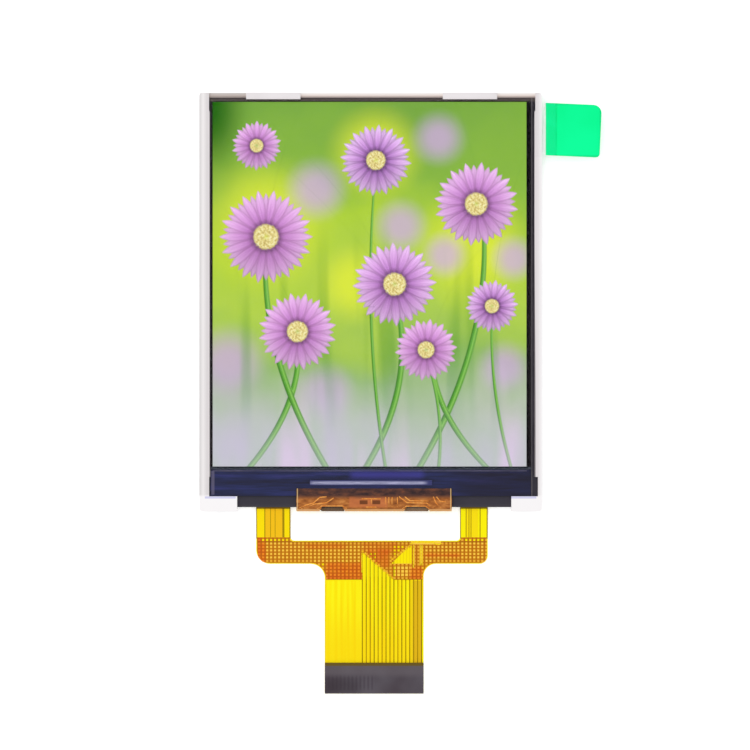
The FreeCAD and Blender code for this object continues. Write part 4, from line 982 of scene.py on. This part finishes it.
def make_tab_finish():
    """Green pull tape, a little deeper along its edges, painted lighter under the film's ear against its
    shade, and white at its root.
    """
    material, bench, shader = new_finish("green tape", 0.05, roughness=0.4)
    place = bench.place()
    across, along, _ = bench.split(place)
    out = bench.use(grain_group, place=place, scale=1.4)
    colour = bench.blend(bench.ease(out["Drift"], 0.4, 0.6), tint(2, 248, 146), tint(6, 255, 156))
    left, right, bottom, top = edges("pull_tab")
    near_side = bench.math("MINIMUM", across - left, right - across)
    near_end = bench.math("MINIMUM", along - bottom, top - along)
    near = bench.math("MINIMUM", near_side, near_end)
    colour = bench.blend(bench.ease(near, *TAB_RIM, 0.8, 0.0), colour, tint(10, 214, 128))
    # Painted light: the tape under the film's ear is lifted against the film's shade.
    colour = bench.blend(bench.ease(across, *EAR_LIGHTENED_END, 0.9, 0.0), colour, tint(20, 255, 166))
    colour = bench.blend(bench.ease(across, *TAB_ROOT, 0.95, 0.0), colour, tint(252, 254, 253))
    coat(bench, shader, colour, out["Grain"], 0.01, 0.2)
    dress(material, "pull_tab")


def make_capacitor_finish():
    """Fired body between two tinned ends."""
    material, bench, shader = new_finish("fired parts", roughness=0.5)
    place = bench.place()
    across = bench.split(place)[0]
    step = (across - edges("capacitors")[0]) / CAPACITOR_PITCH
    inside = (step - bench.math("FLOOR", step)) * CAPACITOR_PITCH
    ends = bench.ease(abs(inside - CAPACITOR_MIDDLE), *CAPACITOR_END)
    grain = bench.use(grain_group, place=place, scale=6.0)["Grain"]
    body = bench.blend(grain, tint(150, 112, 74), tint(186, 146, 104))
    bench.feed(shader.inputs["Base Color"], bench.blend(ends, body, tint(206, 206, 210)))
    bench.feed(shader.inputs["Metallic"], ends * 0.8)
    bench.feed(shader.inputs["Roughness"], bench.ease(ends, 0.0, 1.0, 0.55, 0.3))
    dress(material, "capacitors")


make_lit_picture()
for clear_sheet in CLEAR_SHEETS:
    make_clear_sheet(*clear_sheet)
make_ledge_glass()
for black_sheet in BLACK_SHEETS:
    make_black_sheet(*black_sheet)
make_chip_finish()
make_frame_finish()
make_flex_finish()
make_run_finish()
make_hatch_finish()
make_stiffener_finish()
make_tab_finish()
make_capacitor_finish()
for plain_finish in PLAIN_FINISHES:
    make_plain_finish(*plain_finish)


# Fine copper drawn on the flexible circuit

# The fold of the tongue: where it starts, the level of its axis and the level of the copper on it.
FOLD_START = -25.67
FOLD_LEVEL = 1.05
TONGUE_TOP = top_level("main_flex")
BAR_COPPER_TOP = top_level("flex_pour")
RUN_CROWN = 0.012
MERGE_REACH = 0.002

# Runs are given as rows of points, each as across and along.
TONGUE_RUNS = (
    ((-8.97, -25.96), (-8.14, -25.6), (-7.2, -25.33), (-6.4, -24.63), (-5.55, -24.55)),
    ((-8.77, -26.1), (-7.16, -25.5), (-5.55, -25.3), (-4.65, -24.7)),
    ((-6.7, -26.05), (-6.2, -25.72), (-3.5, -25.72), (-3.0, -26.05)),
    ((-1.13, -24.8), (1.29, -24.8)),
    ((0.1, -24.8), (0.1, -25.9)),
    ((-0.6, -25.86), (0.75, -25.86)),
    ((1.9, -24.6), (1.9, -25.85)),
    ((2.3, -24.6), (2.3, -25.85)),
    ((2.7, -24.6), (2.7, -25.85)),
    ((3.39, -24.6), (3.39, -25.85)),
    ((3.59, -24.55), (4.6, -25.3), (7.1, -25.35), (7.9, -26.0)),
    ((4.3, -24.55), (4.95, -25.05), (7.3, -25.1)),
    ((7.91, -24.55), (8.24, -25.33), (8.87, -25.95)),
    ((8.3, -24.55), (8.75, -25.1), (9.5, -25.2)),
    ((4.0, -26.05), (4.5, -25.74), (6.9, -25.74), (7.35, -26.05)),
)
BAR_RUNS = (
    ((5.05, -30.62), (5.4, -30.36), (7.9, -30.36), (8.35, -30.62), (8.75, -30.62), (8.95, -30.45)),
    ((5.42, -30.7), (5.42, -33.6)),
    ((6.28, -30.7), (6.28, -33.3)),
    ((6.52, -30.7), (6.52, -33.3)),
    ((-1.1, -31.7), (-1.1, -34.2)),
)
TONGUE_RUN_HALF = 0.07
BAR_RUN_HALF = 0.08
# Rows of lands are given as first land, last land and count.
LAND_ROWS = (((-1.0, -31.5), (2.75, -34.85), 12), ((2.75, -32.45), (4.9, -30.9), 7))
LAND_FOOT = 0.17
LAND_TOP = 0.1
LAND_HEIGHT = 0.03
LAND_LEVEL = BAR_COPPER_TOP + 0.01
LAND_SIDES = 12
# Blocks of the cord inside the fold, each as its low and high corner.
FOLD_CORD = (
    ((-9.1, -26.27, 0.88), (10.0, -25.89, 1.22)),
    ((-6.24, -26.41, 0.94), (-3.32, -26.2, 1.16)),
    ((4.26, -26.41, 0.94), (7.28, -26.2, 1.16)),
)
CORD_ROUNDING = 0.03


def add_piece(name, mesh, finish):
    """Shows a mesh as a piece that rides with the module."""
    mesh.materials.clear()
    mesh.materials.append(finish)
    piece = bpy.data.objects.new(name, mesh)
    bpy.context.scene.collection.objects.link(piece)
    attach(piece, "root")


def round_runs(name, runs, half_width):
    """Mesh of round runs through rows of points, at level 0."""
    curve = bpy.data.curves.new(name + " line", "CURVE")
    curve.dimensions = "3D"
    curve.bevel_depth = half_width * MM
    curve.bevel_resolution = 1
    curve.use_fill_caps = True
    for points in runs:
        spline = curve.splines.new("POLY")
        spline.points.add(len(points) - 1)
        for point, (across, along) in zip(spline.points, points):
            point.co = (across * MM, along * MM, 0, 1)
    holder = bpy.data.objects.new(name + " line", curve)
    mesh = bpy.data.meshes.new_from_object(holder)
    bpy.data.objects.remove(holder)
    bpy.data.curves.remove(curve)
    return mesh


def add_runs(name, runs, half_width, level, finish):
    """Crowned copper runs laid on the circuit, and over its fold where they lie on the tongue."""
    mesh = round_runs(name, runs, half_width)
    shape = bmesh.new()
    shape.from_mesh(mesh)
    bmesh.ops.remove_doubles(shape, verts=shape.verts, dist=MERGE_REACH * MM)
    bmesh.ops.subdivide_edges(shape, edges=shape.edges, cuts=1)
    flatten = RUN_CROWN / half_width
    outer = TONGUE_TOP - FOLD_LEVEL
    for vert in shape.verts:
        height = vert.co.z * flatten
        past = FOLD_START * MM - vert.co.y
        if level == TONGUE_TOP and past > 0:
            reach = outer * MM + height
            vert.co.z = FOLD_LEVEL * MM + math.sqrt(max(reach * reach - past * past, 0.0))
        else:
            vert.co.z = level * MM + height
    bmesh.ops.recalc_face_normals(shape, faces=shape.faces)
    shape.to_mesh(mesh)
    shape.free()
    add_piece(name, mesh, finish)


def add_land_rows(finish):
    """Low domed lands in slanted rows beside the windows in the hatched copper."""
    shape = bmesh.new()
    for (start_across, start_along), (end_across, end_along), count in LAND_ROWS:
        for number in range(count):
            share = number / (count - 1)
            across = start_across + (end_across - start_across) * share
            along = start_along + (end_along - start_along) * share
            bmesh.ops.create_cone(
                shape,
                cap_ends=True,
                segments=LAND_SIDES,
                radius1=LAND_FOOT * MM,
                radius2=LAND_TOP * MM,
                depth=LAND_HEIGHT * MM,
                matrix=Matrix.Translation(Vector((across, along, LAND_LEVEL)) * MM),
            )
    mesh = bpy.data.meshes.new("fan_vias")
    shape.to_mesh(mesh)
    shape.free()
    add_piece("fan_vias", mesh, finish)


def add_fold_cord(finish):
    """Black foam cord inside the fold, with two pads that fill the relief slots."""
    shape = bmesh.new()
    for low, high in FOLD_CORD:
        size = Vector([last - first for first, last in zip(low, high)]) * MM
        middle = Vector([(first + last) / 2 for first, last in zip(low, high)]) * MM
        place = Matrix.Translation(middle) @ Matrix.Diagonal((*size, 1.0))
        block = bmesh.ops.create_cube(shape, size=1.0, matrix=place)["verts"]
        edges = list({edge for vert in block for edge in vert.link_edges})
        bmesh.ops.bevel(
            shape,
            geom=edges,
            offset=CORD_ROUNDING * MM,
            segments=2,
            profile=0.5,
            affect="EDGES",
            material=-1,
        )
    mesh = bpy.data.meshes.new("fold_cord")
    shape.to_mesh(mesh)
    shape.free()
    add_piece("fold_cord", mesh, finish)


def make_bright_copper(name, dark, light):
    """Copper seen through the film, in two tones over a fine grain."""
    material, bench, shader = new_finish(name, 0.08, roughness=0.3)
    grain = bench.use(grain_group, place=bench.place(), scale=3.0)["Grain"]
    tone = bench.ease(grain, 0.35, 0.65)
    coat(bench, shader, bench.blend(tone, dark, light), grain, 0.006)
    return material


def make_foam_finish():
    """Black foam with a brown bloom, painted lighter all over and most on the right, against the shade in
    the relief slots.
    """
    material, bench, shader = new_finish("black foam", 0.1, roughness=0.7)
    place = bench.place()
    across = bench.split(place)[0]
    grain = bench.use(grain_group, place=place, scale=5.0)["Grain"]
    colour = bench.blend(grain, tint(64, 50, 40), tint(126, 100, 76))
    # Painted light: colour lifted against the shade in the slots, more to the right.
    tone = bench.ease(across, -2.0, 2.0, 1.25, 1.9)
    coat(bench, shader, bench.times(colour, tone), grain, 0.03, 0.5)
    return material


tongue_copper = make_bright_copper("tongue copper", tint(224, 130, 50), tint(246, 172, 88))
bar_copper = make_bright_copper("bar copper", tint(246, 200, 20), tint(254, 228, 40))
land_copper = make_bright_copper("land copper", tint(228, 166, 12), tint(252, 208, 50))
add_runs("tongue_runs", TONGUE_RUNS, TONGUE_RUN_HALF, TONGUE_TOP, tongue_copper)
add_runs("bar_runs", BAR_RUNS, BAR_RUN_HALF, BAR_COPPER_TOP, bar_copper)
add_land_rows(land_copper)
add_fold_cord(make_foam_finish())


# Floor, light and camera
# Reaches and distances here are in metres.

PAPER_HALF = 1.5
PAPER_GLOW = 0.42
ROOM_LIGHT = 0.81
LAMP_SIDE = 0.4
LAMP_POWER = 0.9
LAMP_SPOT = Vector((-0.2, 0.18, 0.55))
VIEW_WIDTH = 0.0945
CAMERA_DISTANCE = 0.5
SENSOR_WIDTH = 36
NEAREST_SEEN = 0.01
# In millimetres: the paper's level under the module, and what the camera looks at.
PAPER_LEVEL = -0.02
VIEW_MIDDLE = Vector((0.554, -9.2, 2.2))


def make_floor():
    """White paper that shows pure white and keeps the module's soft shadow."""
    shape = bmesh.new()
    bmesh.ops.create_grid(shape, x_segments=1, y_segments=1, size=PAPER_HALF)
    mesh = bpy.data.meshes.new("floor")
    shape.to_mesh(mesh)
    shape.free()
    mesh.transform(Matrix.Translation((0, 0, PAPER_LEVEL * MM)))
    floor = bpy.data.objects.new("floor", mesh)
    bpy.context.scene.collection.objects.link(floor)
    material, bench, shader = new_finish("white paper", 0.0, roughness=0.8)
    bench.feed(shader.inputs["Emission Strength"], bench.in_view() * PAPER_GLOW)
    shader.inputs["Emission Color"].default_value = (1, 1, 1, 1)
    shader.inputs["Base Color"].default_value = tint(240, 240, 240)
    mesh.materials.append(material)


def make_light():
    """Soft room light with one large lamp from the upper left."""
    world = bpy.data.worlds.new("soft room")
    world.use_nodes = True
    backdrop = world.node_tree.nodes["Background"]
    bench = Bench(world.node_tree)
    bench.feed(backdrop.inputs["Strength"], ROOM_LIGHT + bench.in_view() * (1 - ROOM_LIGHT))
    backdrop.inputs["Color"].default_value = (1, 1, 1, 1)
    bpy.context.scene.world = world
    lamp = bpy.data.lights.new("soft box", "AREA")
    lamp.shape = "SQUARE"
    lamp.size = LAMP_SIDE
    lamp.energy = LAMP_POWER
    holder = bpy.data.objects.new("soft box", lamp)
    holder.location = LAMP_SPOT
    holder.rotation_mode = "QUATERNION"
    holder.rotation_quaternion = (-LAMP_SPOT).to_track_quat("-Z", "Y")
    bpy.context.scene.collection.objects.link(holder)


def make_camera():
    """Looks straight down on the module."""
    lens = bpy.data.cameras.new("camera")
    lens.sensor_width = SENSOR_WIDTH
    lens.lens = SENSOR_WIDTH * CAMERA_DISTANCE / VIEW_WIDTH
    lens.clip_start = NEAREST_SEEN
    camera = bpy.data.objects.new("camera", lens)
    camera.location = VIEW_MIDDLE * MM + Vector((0, 0, CAMERA_DISTANCE))
    bpy.context.scene.collection.objects.link(camera)
    bpy.context.scene.camera = camera


make_floor()
make_light()
make_camera()
bpy.context.scene.view_settings.view_transform = "Standard"
